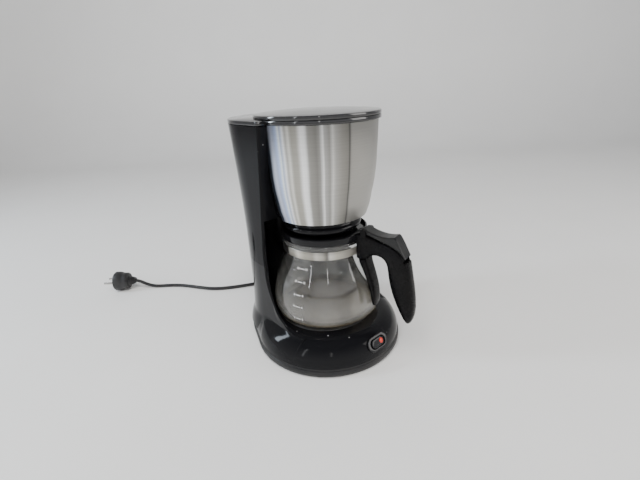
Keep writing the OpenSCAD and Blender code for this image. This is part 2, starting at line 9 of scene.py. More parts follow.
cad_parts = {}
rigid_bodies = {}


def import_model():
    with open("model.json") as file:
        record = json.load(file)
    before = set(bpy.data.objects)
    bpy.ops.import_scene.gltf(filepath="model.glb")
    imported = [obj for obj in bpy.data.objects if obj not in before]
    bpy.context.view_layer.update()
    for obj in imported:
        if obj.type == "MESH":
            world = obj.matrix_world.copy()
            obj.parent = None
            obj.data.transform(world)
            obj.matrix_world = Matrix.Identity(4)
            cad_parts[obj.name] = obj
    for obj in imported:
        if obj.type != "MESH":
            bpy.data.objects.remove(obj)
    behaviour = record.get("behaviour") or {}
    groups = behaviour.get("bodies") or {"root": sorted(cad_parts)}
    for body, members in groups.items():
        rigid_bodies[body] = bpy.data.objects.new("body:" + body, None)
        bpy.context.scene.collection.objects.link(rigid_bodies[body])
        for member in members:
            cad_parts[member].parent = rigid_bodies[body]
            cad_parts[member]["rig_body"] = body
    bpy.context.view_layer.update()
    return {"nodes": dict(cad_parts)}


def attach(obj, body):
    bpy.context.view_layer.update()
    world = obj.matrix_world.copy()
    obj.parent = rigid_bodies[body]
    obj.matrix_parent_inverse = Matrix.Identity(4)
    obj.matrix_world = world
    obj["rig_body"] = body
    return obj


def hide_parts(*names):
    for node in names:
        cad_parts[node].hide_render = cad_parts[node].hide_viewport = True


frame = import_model()
scene = bpy.context.scene
MM = 0.001

# ---- Camera -------------------------------------------------------------------------------------------
# A wide lens a little above the machine, to the left of straight ahead, tilted slightly.
eye = bpy.data.cameras.new("camera")
eye.sensor_fit = "HORIZONTAL"
eye.sensor_width = 36.0
eye.lens = 20.914
eye.clip_start = 0.02
camera = bpy.data.objects.new("camera", eye)
camera.location = (-0.3147, -0.3738, 0.3532)
camera.rotation_euler = (radians(67.5613), radians(2.6286), radians(-40.6945))
scene.collection.objects.link(camera)
scene.camera = camera

# ---- Mains cord ---------------------------------------------------------------------------------------
# Round black sheath, 6.2 mm: out of the grip at the back, once and nine tenths round a coil, then along
# the table to its plug. The coil's upper turn lies on the lower one and comes down beside the place where
# the run leaves.
cord_d = 0.0062
coil_centre, coil_r = (62, 217), 44
lead_points = [(0, 147, 24), (0, 154, 23.4), (0.5, 161, 21.8), (2, 169, 19.4), (4.5, 178, 16.8),
               (8, 188, 14.6), (11.5, 198, 13), (13, 206, 12)]
run_points = [(24, 188, 3.3), (14, 195, 3.3), (2, 201, 3.3), (-11, 206, 3.3), (-33, 217, 3.3),
              (-49, 226, 3.3), (-65, 237, 3.3), (-79, 251, 3.3), (-91, 269, 3.3), (-103, 288, 3.3),
              (-116, 306, 3.3), (-131, 321, 3.3), (-146, 333, 3.3), (-157, 342, 5.2), (-166, 349.5, 9.8),
              (-173, 355.3, 15), (-180, 361, 18.4)]
upper_z, lower_z = 9.45, 3.2
coil_points = []
down_turn = [(-142, coil_r, upper_z - 0.35), (-154, coil_r, 7.5), (-166, coil_r, 5.4), (-178, coil_r, 3.8),
             (-191, coil_r, lower_z)]
for a, r, z in ([(181, 48.4, 11.2), (167, 46.2, 10.3), (152, 44.4, 9.6)]
                + [(a, coil_r, upper_z) for a in range(137, -130, -18)]
                + down_turn
                + [(a, coil_r, lower_z) for a in range(-208, -470, -18)]
                + [(-482, 44.6, lower_z), (-493, 45.8, lower_z)]):
    coil_points.append((coil_centre[0] + r * cos(radians(a)), coil_centre[1] + r * sin(radians(a)), z))
route = lead_points + coil_points + run_points


def smooth_path(points, parts=4):
    """Catmull-Rom points through a list of points."""
    out = []
    for i in range(len(points) - 1):
        a, b, c, d = (Vector(points[max(0, min(len(points) - 1, i + k))]) for k in (-1, 0, 1, 2))
        for s in range(parts):
            t = s / parts
            out.append(0.5 * ((2 * b) + (c - a) * t + (2 * a - 5 * b + 4 * c - d) * t * t
                              + (3 * b - a - 3 * c + d) * t ** 3))
    return out + [Vector(points[-1])]


def new_material(name, colour, rough, metallic=0.0, **sockets):
    """A material on the Principled shader, with its plain sockets set."""
    m = bpy.data.materials.new(name)
    m.use_nodes = True
    shader = m.node_tree.nodes["Principled BSDF"]
    shader.inputs["Base Color"].default_value = (*colour, 1)
    shader.inputs["Roughness"].default_value = rough
    shader.inputs["Metallic"].default_value = metallic
    for key, value in sockets.items():
        shader.inputs[key.replace("_", " ")].default_value = value
    return m, m.node_tree, shader


def node(tree, kind, **props):
    """Adds a node to a tree and sets its properties."""
    n = tree.nodes.new(kind)
    for key, value in props.items():
        setattr(n, key, value)
    return n


def grain(tree, scale, detail=2.0, stretch=(1, 1, 1), rough=0.5, shift=(0, 0, 0)):
    """A noise pattern in the piece's own metres; stretch above 1 makes it finer along that axis."""
    place, mapping, noise = (node(tree, "ShaderNodeTexCoord"), node(tree, "ShaderNodeMapping"),
                             node(tree, "ShaderNodeTexNoise"))
    mapping.inputs["Scale"].default_value = stretch
    mapping.inputs["Location"].default_value = shift
    noise.inputs["Scale"].default_value = scale
    noise.inputs["Detail"].default_value = detail
    noise.inputs["Roughness"].default_value = rough
    tree.links.new(place.outputs["Object"], mapping.inputs["Vector"])
    tree.links.new(mapping.outputs["Vector"], noise.inputs["Vector"])
    return noise.outputs["Fac"]


def spread(tree, value, low, high, start=0.3, end=0.7):
    """Spreads a 0 to 1 pattern between two values."""
    n = node(tree, "ShaderNodeMapRange")
    for key, v in (("From Min", start), ("From Max", end), ("To Min", low), ("To Max", high)):
        n.inputs[key].default_value = v
    tree.links.new(value, n.inputs["Value"])
    return n.outputs["Result"]


def tint(tree, value, dark, light):
    """A colour between two, by a pattern."""
    n = node(tree, "ShaderNodeMix", data_type="RGBA")
    n.inputs["A"].default_value = (*dark, 1)
    n.inputs["B"].default_value = (*light, 1)
    tree.links.new(value, n.inputs["Factor"])
    return n.outputs["Result"]


def relief(tree, shader, height, strength, depth, under=None):
    """Bump from a pattern; depth in metres."""
    n = node(tree, "ShaderNodeBump")
    n.inputs["Strength"].default_value = strength
    n.inputs["Distance"].default_value = depth
    tree.links.new(height, n.inputs["Height"])
    if under:
        tree.links.new(under, n.inputs["Normal"])
    tree.links.new(n.outputs["Normal"], shader.inputs["Normal"])
    return n.outputs["Normal"]


def cord_sheath():
    m, tree, shader = new_material("cord_sheath", (0.014, 0.014, 0.015), 0.42)
    tree.links.new(tint(tree, spread(tree, grain(tree, 90), 0, 1), (0.009, 0.009, 0.01),
                        (0.024, 0.023, 0.022)),
                   shader.inputs["Base Color"])
    tree.links.new(spread(tree, grain(tree, 260), 0.34, 0.52), shader.inputs["Roughness"])
    relief(tree, shader, grain(tree, 1400), 0.25, 0.0002)
    return m


sheath = cord_sheath()
path = [p * MM for p in smooth_path(route)]
line = bpy.data.curves.new("mains_cord", "CURVE")
line.dimensions = "3D"
line.bevel_depth = cord_d / 2
line.bevel_resolution = 4
line.use_fill_caps = True
strand = line.splines.new("POLY")
strand.points.add(len(path) - 1)
for k, p in enumerate(path):
    strand.points[k].co = (*p, 1)
strand.use_smooth = True
mains_cord = bpy.data.objects.new("mains_cord", line)
scene.collection.objects.link(mains_cord)
line.materials.append(sheath)
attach(mains_cord, "machine")
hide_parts("cord_lead", "cord_coil", "cord_run")

# ---- Plug and cord grip -------------------------------------------------------------------------------
# The plug is one black moulding round two nickel-plated pins, with a waist to pull it by and a ribbed
# cord sleeve; the grip is a stepped rubber sleeve clamped in the back of the base.


def add_piece(name, bm, material, body, hides=(), edge=30, bevel=0.0):
    """Makes an object from mesh data in metres, shades it smooth up to an edge angle and lets it ride."""
    bmesh.ops.remove_doubles(bm, verts=bm.verts, dist=1e-6)
    bmesh.ops.recalc_face_normals(bm, faces=bm.faces)
    mesh = bpy.data.meshes.new(name)
    bm.to_mesh(mesh)
    bm.free()
    mesh.materials.append(material)
    for p in mesh.polygons:
        p.use_smooth = True
    mesh.set_sharp_from_angle(angle=radians(edge))
    ob = bpy.data.objects.new(name, mesh)
    scene.collection.objects.link(ob)
    if bevel:
        rounding = ob.modifiers.new("rounding", "BEVEL")
        rounding.width = bevel * MM
        rounding.segments = 3
        rounding.limit_method = "ANGLE"
        rounding.angle_limit = radians(edge)
        rounding.harden_normals = True
    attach(ob, body)
    if hides:
        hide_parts(*hides)
    return ob


def lathe(bm, profile, steps=96, start=0.0, sweep=360.0, place=None):
    """Turns a closed profile of (radius, height) in mm round the Z axis; place is a matrix in mm."""
    whole = sweep >= 360
    count = steps if whole else steps + 1
    rings = []
    for k in range(count):
        a = radians(start + sweep * k / steps)
        ring = []
        for r, z in profile:
            p = Vector((r * cos(a), r * sin(a), z))
            ring.append(bm.verts.new((place @ p if place else p) * MM))
        rings.append(ring)
    n = len(profile)
    for k in range(count if whole else count - 1):
        a, b = rings[k], rings[(k + 1) % count]
        for i in range(n):
            j = (i + 1) % n
            if profile[i][0] < 1e-6 and profile[j][0] < 1e-6:
                continue
            corners = [a[i], b[i], b[j], a[j]]
            if profile[i][0] < 1e-6:
                corners = [a[i], b[j], a[j]]
            elif profile[j][0] < 1e-6:
                corners = [a[i], b[i], a[j]]
            bm.faces.new(corners)
    if not whole:
        bm.faces.new(rings[0])
        bm.faces.new(rings[-1][::-1])


def through(points, parts=6):
    """A smooth profile through (radius, height) points."""
    return [(p[0], p[1]) for p in smooth_path([(r, z, 0) for r, z in points], parts)]


plug_place = (Matrix.Translation((-180, 361, 18.6)) @ Matrix.Rotation(radians(50), 4, "Z")
              @ Matrix.Rotation(radians(-90), 4, "X"))
plug_bm = bmesh.new()
sleeve = [(0, 0)]
for k in range(4):
    sleeve += [(5.8 + k * 0.9, 0.4 + k * 2.8), (6.2 + k * 0.9, 1.6 + k * 2.8),
               (5.2 + k * 0.9, 2.2 + k * 2.8)]
body = through([(12.2, 12.2), (15.2, 14.2), (15.8, 18), (16, 22), (17.4, 26), (18.3, 30), (18.4, 36)], 5)
lathe(plug_bm, sleeve + [(9, 12)] + body + [(17.6, 37.6), (0, 37.95)], 72, place=plug_place)


def plug_moulding():
    m, tree, shader = new_material("plug_moulding", (0.016, 0.016, 0.017), 0.45)
    tree.links.new(tint(tree, spread(tree, grain(tree, 60), 0, 1), (0.012, 0.012, 0.013),
                        (0.026, 0.025, 0.025)),
                   shader.inputs["Base Color"])
    tree.links.new(spread(tree, grain(tree, 180), 0.38, 0.55), shader.inputs["Roughness"])
    relief(tree, shader, grain(tree, 2200), 0.3, 0.0002)
    return m


moulding = plug_moulding()
add_piece("plug_moulded", plug_bm, moulding, "machine", ["plug_body"])


def nickel():
    m, tree, shader = new_material("nickel_plate", (0.72, 0.70, 0.66), 0.2, 1.0)
    tree.links.new(spread(tree, grain(tree, 400, 3), 0.14, 0.3), shader.inputs["Roughness"])
    relief(tree, shader, grain(tree, 900, 3, (1, 1, 0.1)), 0.15, 0.0001)
    return m


plating = nickel()


def dress(name, material, edge=30, bevel=0.0, shown=None):
    """A finished copy of a CAD node: its triangles welded, flat areas joined and its edges eased."""
    source = frame["nodes"][name]
    bm = bmesh.new()
    bm.from_mesh(source.data)
    bmesh.ops.remove_doubles(bm, verts=bm.verts, dist=2e-6)
    bmesh.ops.dissolve_limit(bm, angle_limit=radians(0.4), verts=bm.verts, edges=bm.edges)
    mesh = bpy.data.meshes.new(shown or name + "_finished")
    bm.to_mesh(mesh)
    bm.free()
    mesh.materials.append(material)
    for p in mesh.polygons:
        p.use_smooth = True
    mesh.set_sharp_from_angle(angle=radians(edge))
    ob = bpy.data.objects.new(shown or name + "_finished", mesh)
    scene.collection.objects.link(ob)
    if bevel:
        rounding = ob.modifiers.new("rounding", "BEVEL")
        rounding.width = bevel * MM
        rounding.segments = 2
        rounding.limit_method = "ANGLE"
        rounding.angle_limit = radians(edge)
        rounding.harden_normals = True
    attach(ob, source["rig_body"])
    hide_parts(name)
    return ob


def finish_node(name, material):
    """Keeps a CAD node as it is, with its own finish."""
    ob = frame["nodes"][name]
    ob.data.materials.clear()
    ob.data.materials.append(material)


finish_node("plug_pins", plating)
grip_bm = bmesh.new()
grip_profile = [(0, 124), (5, 124), (5, 132.4), (7.5, 132.4), (7.5, 134.2), (6.9, 134.4), (5.5, 134.6)]
for k in range(4):
    r = 5.4 - 0.3 * k
    grip_profile += [(r, 135.4 + 2.6 * k), (r, 136.8 + 2.6 * k), (r - 0.7, 137.1 + 2.6 * k),
                     (r - 0.7, 137.8 + 2.6 * k)]
grip_place = Matrix.Translation((0, 0, 24)) @ Matrix.Rotation(radians(-90), 4, "X")
lathe(grip_bm, grip_profile + [(4.2, 146.2), (4.0, 147), (0, 147)], 48, place=grip_place)
add_piece("cord_grip_ribbed", grip_bm, moulding, "machine", ["cord_grip"])

# ---- Feet, bottom plate and screws --------------------------------------------------------------------
# Four rubber feet pushed into a black moulded plate with cooling slots, held by five zinc-plated screws.


def foot_rubber():
    m, tree, shader = new_material("foot_rubber", (0.05, 0.05, 0.05), 0.75)
    tree.links.new(tint(tree, spread(tree, grain(tree, 200), 0, 1), (0.035, 0.035, 0.035),
                        (0.075, 0.073, 0.07)),
                   shader.inputs["Base Color"])
    relief(tree, shader, grain(tree, 1800), 0.4, 0.0002)
    return m


def plate_plastic():
    m, tree, shader = new_material("moulded_underside", (0.03, 0.03, 0.032), 0.55)
    tree.links.new(tint(tree, spread(tree, grain(tree, 25, 4), 0, 1), (0.022, 0.022, 0.024),
                        (0.042, 0.041, 0.04)),
                   shader.inputs["Base Color"])
    tree.links.new(spread(tree, grain(tree, 80), 0.48, 0.66), shader.inputs["Roughness"])
    relief(tree, shader, grain(tree, 1600), 0.35, 0.0002)
    return m


def zinc():
    m, tree, shader = new_material("zinc_plate", (0.56, 0.57, 0.58), 0.32, 1.0)
    tree.links.new(tint(tree, spread(tree, grain(tree, 300), 0, 1), (0.44, 0.45, 0.47), (0.62, 0.62, 0.6)),
                   shader.inputs["Base Color"])
    tree.links.new(spread(tree, grain(tree, 700), 0.24, 0.42), shader.inputs["Roughness"])
    return m


rubber, underside, zinced = foot_rubber(), plate_plastic(), zinc()
for k in range(1, 5):
    dress(f"foot_{k}", rubber, bevel=0.7)
dress("bottom_plate", underside)
dress("base_screws", zinced, bevel=0.3)

# ---- Base skirt ---------------------------------------------------------------------------------------
# A satin black foot ring under the glossy base, with a shallow waist and a lip at the table.
tangent = math.asin(0.352)
front_y, rear_y, base_r = -2.5, 42.0, 106.0
gap_y = rear_y - front_y
rear_r = base_r - 0.352 * gap_y


def egg_loop(inset, z, arc=56, side=8):
    """The base's outline: the front circle, the rear circle and their tangents, moved in, at one height."""
    loop = []
    for k in range(arc + 1):
        a = pi - tangent + (pi + 2 * tangent) * k / arc
        loop.append((Vector((0, front_y)), base_r - inset, a))
    for k in range(arc + 1):
        a = tangent + (pi - 2 * tangent) * k / arc
        loop.append((Vector((0, rear_y)), rear_r - inset, a))
    points = [Vector((c[0] + r * cos(a), c[1] + r * sin(a), z)) for c, r, a in loop]
    out = []
    for k, p in enumerate(points):
        out.append(p)
        q = points[(k + 1) % len(points)]
        if k in (arc, 2 * arc + 1):
            out += [p.lerp(q, s / side) for s in range(1, side)]
    return out


def loft(bm, loops, closed=False):
    """Joins loops of equal length; a closed loft runs back into its first loop, an open one gets caps."""
    rings = [[bm.verts.new(Vector(p) * MM) for p in loop] for loop in loops]
    n = len(rings[0])
    for k in range(len(rings) if closed else len(rings) - 1):
        a, b = rings[k], rings[(k + 1) % len(rings)]
        for i in range(n):
            bm.faces.new([a[i], a[(i + 1) % n], b[(i + 1) % n], b[i]])
    if not closed:
        bm.faces.new(rings[0][::-1])
        bm.faces.new(rings[-1])


def satin_black():
    m, tree, shader = new_material("satin_black", (0.014, 0.014, 0.015), 0.42, Specular_IOR_Level=0.3)
    tree.links.new(tint(tree, spread(tree, grain(tree, 30, 4), 0, 1), (0.011, 0.011, 0.012),
                        (0.022, 0.021, 0.021)),
                   shader.inputs["Base Color"])
    tree.links.new(spread(tree, grain(tree, 120, 3), 0.34, 0.5), shader.inputs["Roughness"])
    relief(tree, shader, grain(tree, 2600), 0.3, 0.00015)
    return m


satin = satin_black()
skirt_bm = bmesh.new()
skirt_profile = [(-0.2, 2), (-0.4, 2.4), (-0.4, 3.2), (-1.0, 3.7), (-1.55, 4.6), (-1.6, 7), (-1.6, 10.2),
                 (-1.2, 11), (-0.6, 11.3), (-0.5, 13.4), (-0.2, 13.9), (2, 13.95), (2, 2)]
loft(skirt_bm, [egg_loop(t, z) for t, z in skirt_profile], closed=True)
add_piece("base_skirt_ring", skirt_bm, satin, "machine", ["base_skirt"], edge=40)

# ---- Base moulding ------------------------------------------------------------------------------------
# One high-gloss black moulding: the rounded base with the hole for the hot plate, and the lower half of
# the column whose two wings sweep forward round the jug.
skirt_top, deck_z, dome_in, shell = 14.0, 46.0, 28.0, 2.4
column_w, flare, top_flare = 84.0, rear_r - 84.5, 6.5
wing_y, wing_z, sweep_y, recess_r, rim_r = 26.0, 120.0, -45.0, 83.0, 88.3
ceiling_z, housing_top, seam_z = 195.5, 315.0, 130.0
band_points = [(61.8, 195.5), (65.8, 209), (68.6, 224), (71.7, 240), (73.9, 260), (75.3, 288), (76.4, 315)]


def column_half(z):
    return column_w + flare * max(0, (90 - z) / 76) ** 2 + top_flare * max(0, (z - 170) / 144) ** 1.5


def between(points, x):
    """Straight-line value at x of (x, value) points."""
    for (a, va), (b, vb) in zip(points, points[1:]):
        if x <= b:
            return va + (vb - va) * max(0, x - a) / (b - a)
    return points[-1][1]


def front_at(z):
    """Where the column's front edge is, along Y, at a height."""
    if z < wing_z:
        s = min(1, (wing_z - z) / (wing_z - deck_z))
        return sweep_y + (wing_y - sweep_y) * math.sqrt(1 - s * s)
    return between([(150, 26), (ceiling_z, 20), (housing_top, -2)], z)


def dome_half(y, z):
    """Half width of the rounded base at one place along Y and one height."""
    if z > deck_z + 6:
        return 0
    s = min(1, max(0, (z - skirt_top) / (deck_z - skirt_top)))
    inset = dome_in * (1 - math.sqrt(1 - s * s)) + 3 * max(0, z - deck_z)
    turn_y = front_y + base_r * sin(tangent)
    if y < turn_y:
        return math.sqrt(max(0, (base_r - inset) ** 2 - (y - front_y) ** 2))
    return (base_r - inset) / cos(tangent) - (y - front_y) * math.tan(tangent)


def blend(a, b, k):
    """The larger of two values, rounded over where they are within k of each other."""
    h = max(0, k - abs(a - b)) / k
    return max(a, b) + h * h * k / 4


def column_loop(z, t, sides=16, arc=40, corner=5):
    """The column's C-shaped section at one height, moved in by t; the outer wall runs out onto the base."""
    y0 = front_at(z) + t
    inner = recess_r + t
    if z > ceiling_z + t + 0.01:
        inner = between([(b, a) for a, b in band_points], z) + 0.3 + t

    def wall_x(y):
        x = column_half(z) - t
        if z < wing_z and y < 8:
            x = min(x, math.sqrt(max(0, (rim_r - t) ** 2 - (y - front_y) ** 2)))
        return x if t else blend(x, dome_half(y, z), 14)

    radius = 0.1 if t else 1.5
    loop = [(wall_x(y0 + radius) - radius * (1 - sin(pi / 2 * k / corner)),
             y0 + radius * (1 - cos(pi / 2 * k / corner)),
             z) for k in range(corner)]
    for k in range(sides):
        y = y0 + radius + (rear_y - y0 - radius) * (k / sides) ** 1.3
        loop.append((wall_x(y), y, z))
    half = column_half(z) - t
    if not t:
        half = blend(half, rear_r - (base_r / cos(tangent) - gap_y * math.tan(tangent) - dome_half(rear_y,
                                                                                                   z)), 14)
    for k in range(arc + 1):
        a = pi * k / arc
        loop.append((half * cos(a), rear_y + half * sin(a), z))
    loop += [(-x, y, zz) for x, y, zz in loop[sides + corner - 1::-1]]
    a0 = math.asin(max(-0.99, min(0.99, y0 / inner)))
    for k in range(arc + 1):
        a = pi - a0 - (pi - 2 * a0) * k / arc
        loop.append((inner * cos(a), inner * sin(a), z))
    return loop


def gloss_black(name, specks=0.5, shine=0.5):
    """Polished black plastic with faint handling marks, moulding ripple and small pale specks."""
    m, tree, shader = new_material(name, (0.006, 0.006, 0.007), 0.07, IOR=1.5, Specular_IOR_Level=shine)
    # Small pale specks in the colour, set by Voronoi cells under a noise mask; they raise the roughness too.
    speck_cells = node(tree, "ShaderNodeTexVoronoi")
    speck_cells.inputs["Scale"].default_value = 75
    place = node(tree, "ShaderNodeTexCoord")
    tree.links.new(place.outputs["Object"], speck_cells.inputs["Vector"])
    near = spread(tree, speck_cells.outputs["Distance"], 1, 0, 0.035, 0.085)
    some = spread(tree, grain(tree, 30, 2), 0, 1, 0.52, 0.58)
    both = node(tree, "ShaderNodeMath", operation="MULTIPLY")
    tree.links.new(near, both.inputs[0])
    tree.links.new(some, both.inputs[1])
    share = node(tree, "ShaderNodeMath", operation="MULTIPLY")
    share.inputs[1].default_value = specks
    tree.links.new(both.outputs[0], share.inputs[0])
    tree.links.new(tint(tree, share.outputs[0], (0.006, 0.006, 0.007), (0.5, 0.5, 0.5)),
                   shader.inputs["Base Color"])
    smear = spread(tree, grain(tree, 18, 5, rough=0.65), 0.045, 0.16, 0.35, 0.75)
    rough = node(tree, "ShaderNodeMath", operation="MAXIMUM")
    tree.links.new(smear, rough.inputs[0])
    tree.links.new(share.outputs[0], rough.inputs[1])
    tree.links.new(rough.outputs[0], shader.inputs["Roughness"])
    relief(tree, shader, grain(tree, 26, 1), 0.12, 0.0006)
    return m


base_gloss = gloss_black("gloss_black_base", 0.9, 0.15)
dome = []
for k in range(21):
    a = pi / 2 * k / 20
    dome.append((dome_in * (1 - cos(a)), skirt_top + (deck_z - skirt_top) * sin(a)))
inner_dome = [(t + shell, z - shell * (z - skirt_top) / (deck_z - skirt_top)) for t, z in dome]
hole = 68.0


def rim_loop(z):
    """The round hole for the hot plate, point for point with the outline."""
    out = []
    for p in egg_loop(0, z):
        a = math.atan2(p.y, p.x)
        out.append(Vector((hole * cos(a), hole * sin(a), z)))
    return out


base_bm = bmesh.new()
loft(base_bm, [egg_loop(t, z) for t, z in dome] + [rim_loop(deck_z), rim_loop(deck_z - shell)]
     + [egg_loop(t, z) for t, z in inner_dome[::-1]], closed=True)
levels = [20 + 110 * k / 44 for k in range(45)]
loft(base_bm, [column_loop(z, 0) for z in levels] + [column_loop(z, shell) for z in levels[::-1]],
     closed=True)
add_piece("base_moulding", base_bm, base_gloss, "machine", ["base_shell"], edge=38)

# ---- Hot plate and its seal ---------------------------------------------------------------------------
# A pressed steel disc with a dark non-stick coating, set in a black silicone ring.


def plate_coating():
    m, tree, shader = new_material("plate_coating", (0.04, 0.04, 0.042), 0.4)
    wear = spread(tree, grain(tree, 45, 6, rough=0.7), 0, 1, 0.5, 0.72)
    tree.links.new(tint(tree, wear, (0.03, 0.03, 0.032), (0.085, 0.08, 0.075)), shader.inputs["Base Color"])
    tree.links.new(spread(tree, grain(tree, 90, 4), 0.28, 0.5), shader.inputs["Roughness"])
    relief(tree, shader, grain(tree, 1500), 0.25, 0.0002)
    return m


def seal_silicone():
    m, tree, shader = new_material("seal_silicone", (0.02, 0.02, 0.02), 0.5)
    tree.links.new(spread(tree, grain(tree, 150, 3), 0.4, 0.6), shader.inputs["Roughness"])
    tree.links.new(tint(tree, grain(tree, 70, 3), (0.015, 0.015, 0.015), (0.035, 0.034, 0.033)),
                   shader.inputs["Base Color"])
    return m


hot_bm = bmesh.new()
lathe(hot_bm, [(0, 49.2), (62, 49.2), (63.5, 48.4), (63.5, 41), (64.9, 41), (65, 48.9), (64.6, 49.9),
               (63.6, 50.55), (62.4, 50.7), (60, 50.5), (56, 50.45), (0, 50.45)], 120)
add_piece("hot_plate_disc", hot_bm, plate_coating(), "machine", ["hot_plate"], edge=35)
seal_bm = bmesh.new()
lathe(seal_bm, [(65.1, 42.4), (69.6, 42.4), (69.6, 43.5), (67.9, 43.5), (67.9, 46.1), (69.2, 46.1),
                (69.1, 46.7), (68.4, 47.4), (66.6, 48.2), (65.4, 48.2), (65.1, 47.8)], 120)
add_piece("plate_seal", seal_bm, seal_silicone(), "machine", ["plate_gasket"])

# ---- Heater, hoses and wiring inside the base ---------------------------------------------------------
# An extruded aluminium heater tube under the plate, its thermostat and fuses, and silicone hoses to the
# tank and up.


def cast_aluminium():
    m, tree, shader = new_material("heater_aluminium", (0.62, 0.62, 0.63), 0.42, 1.0)
    tree.links.new(tint(tree, grain(tree, 60, 4), (0.48, 0.48, 0.5), (0.7, 0.7, 0.69)),
                   shader.inputs["Base Color"])
    relief(tree, shader, grain(tree, 700, 4), 0.3, 0.0003)
    return m


def milky_silicone():
    m, tree, shader = new_material("milky_silicone", (0.62, 0.6, 0.54), 0.45)
    tree.links.new(tint(tree, grain(tree, 40, 3), (0.54, 0.51, 0.44), (0.68, 0.66, 0.6)),
                   shader.inputs["Base Color"])
    tree.links.new(spread(tree, grain(tree, 150), 0.35, 0.55), shader.inputs["Roughness"])
    return m


def pale_moulding(name, colour):
    m, tree, shader = new_material(name, colour, 0.4)
    darker = tuple(c * 0.82 for c in colour)
    tree.links.new(tint(tree, grain(tree, 50, 3), darker, colour), shader.inputs["Base Color"])
    tree.links.new(spread(tree, grain(tree, 200), 0.32, 0.5), shader.inputs["Roughness"])
    return m


aluminium, silicone = cast_aluminium(), milky_silicone()
ceramic, phenolic = pale_moulding("pale_moulding", (0.72, 0.7, 0.64)), pale_moulding("phenolic",
                                                                                     (0.3, 0.17, 0.08))
wire_sleeve = pale_moulding("wire_sleeve", (0.2, 0.11, 0.06))
for name, finish in (("heat_spreader", aluminium), ("heater_tube", aluminium), ("spreader_clip", zinced),
                     ("thermostat", phenolic), ("thermal_fuses", ceramic), ("check_valve", ceramic),
                     ("inlet_hose", silicone), ("riser_tube", silicone), ("lead_wires", wire_sleeve),
                     ("switch_box", underside)):
    dress(name, finish)

# ---- Switch -------------------------------------------------------------------------------------------
# A glossy rocker in an oval glossy bezel on the slope of the base, with a round red lamp window at one end.
slope = (Matrix.Translation((0, front_y - (base_r - dome_in + dome_in * cos(radians(34))),
                             skirt_top + (deck_z - skirt_top) * sin(radians(34))))
         @ Matrix.Rotation(radians(59), 4, "X"))


def stadium_loop(length, width, z, place, n=20):
    """A long loop with round ends, in a placed frame."""
    loop = []
    for s, a0 in ((1, -90), (-1, 90)):
        for k in range(n + 1):
            a = radians(a0 + 180 * k / n)
            loop.append(place @ Vector((s * (length - width) / 2 + width / 2 * cos(a), width / 2 * sin(a),
                                        z)))
    return loop


def bezel_loops(sizes, place):
    return [stadium_loop(a, b, z, place) for a, b, z in sizes]


bezel_bm = bmesh.new()
loft(bezel_bm, bezel_loops([(30, 15.8, -9), (30, 15.8, 0), (35.6, 19.6, 0.1), (36, 20, 0.5),
                            (35.8, 19.8, 1.1), (35, 19, 1.6), (34, 18, 1.7), (28.4, 14, 1.6),
                            (27.2, 12.9, 1.0), (27, 12.8, 0.4), (27, 12.8, -9)], slope), closed=True)
bezel_gloss = gloss_black("bezel_gloss", 0.3, 0.35)
add_piece("switch_surround", bezel_bm, bezel_gloss, "machine", ["switch_bezel"], edge=40)
rocker_place = slope @ Matrix.Translation((0, 0, -5)) @ Matrix.Rotation(radians(6), 4, "Y")
rocker_bm = bmesh.new()
loft(rocker_bm, bezel_loops([(24.4, 11, 0.7), (25, 11.6, 1.2), (25, 11.6, 5.9), (24.6, 11.2, 6.4),
                             (23.6, 10.2, 6.6), (17, 6, 6.45)], rocker_place))
add_piece("switch_button", rocker_bm, gloss_black("switch_gloss", 0.2, 0.3), "rocker",
          ["switch_rocker"],
          edge=50)


def lamp_red():
    m, tree, shader = new_material("lamp_red", (0.75, 0.03, 0.015), 0.18, IOR=1.49)
    tree.links.new(tint(tree, grain(tree, 500, 3), (0.4, 0.008, 0.005), (0.6, 0.03, 0.015)),
                   shader.inputs["Base Color"])
    shader.inputs["Emission Color"].default_value = (1.0, 0.08, 0.03, 1)
    shader.inputs["Emission Strength"].default_value = 0.12
    return m


lamp_bm = bmesh.new()
lathe(lamp_bm, [(0, 4.8), (3.5, 4.8), (3.5, 6.75), (3.1, 7.1), (2, 7.35), (0, 7.4)], 40,
      place=rocker_place @ Matrix.Translation((6, 0, 0)))
add_piece("switch_lamp_window", lamp_bm, lamp_red(), "rocker", ["switch_lamp"])

# ---- Column and water tank ----------------------------------------------------------------------------
# The upper moulding stands on the base at a fine seam, closes the space over the jug and holds the water
# tank.
column_gloss = gloss_black("gloss_black_column", 0.35, 0.08)
column_bm = bmesh.new()
low = [seam_z + 0.3 + (ceiling_z - seam_z - 0.3) * k / 20 for k in range(21)]
high = [ceiling_z + 0.02 + (housing_top - ceiling_z - 0.02) * k / 36 for k in range(37)]
low_in = [seam_z + 0.3 + (ceiling_z + shell - seam_z - 0.3) * k / 20 for k in range(21)]
high_in = [ceiling_z + shell + 0.02 + (housing_top - ceiling_z - shell - 0.02) * k / 36 for k in range(37)]
loft(column_bm, [column_loop(z, 0) for z in low + high]
     + [column_loop(z, shell) for z in (low_in + high_in)[::-1]], closed=True)
add_piece("column_moulding", column_bm, column_gloss, "machine", ["column_shell"], edge=38)
# The hinge ears stand at the back of the column, either side of the lid's knuckle, on one steel pin.
ears_bm = bmesh.new()
ear_x, ear_w, hinge_y, hinge_z = 21, 10, 133.6, 316
for side in (-1, 1):
    ear_start = side * ear_x - ear_w / 2
    turn = Matrix.Translation((ear_start, hinge_y, hinge_z)) @ Matrix.Rotation(radians(90), 4, "Y")
    lathe(ears_bm, [(1.5, 0), (2.8, 0), (3, 0.3), (3, 9.7), (2.8, 10), (1.5, 10)], 32, place=turn)
    corners = [(126, 308), (hinge_y, 308), (136.2, 314.6), (hinge_y, 313.4), (126, 313.4)]
    loft(ears_bm, [[(x, y, z) for y, z in corners] for x in (ear_start + 0.01, ear_start + ear_w - 0.01)])
add_piece("hinge_ears", ears_bm, column_gloss, "machine")
dress("hinge_pin", zinced)


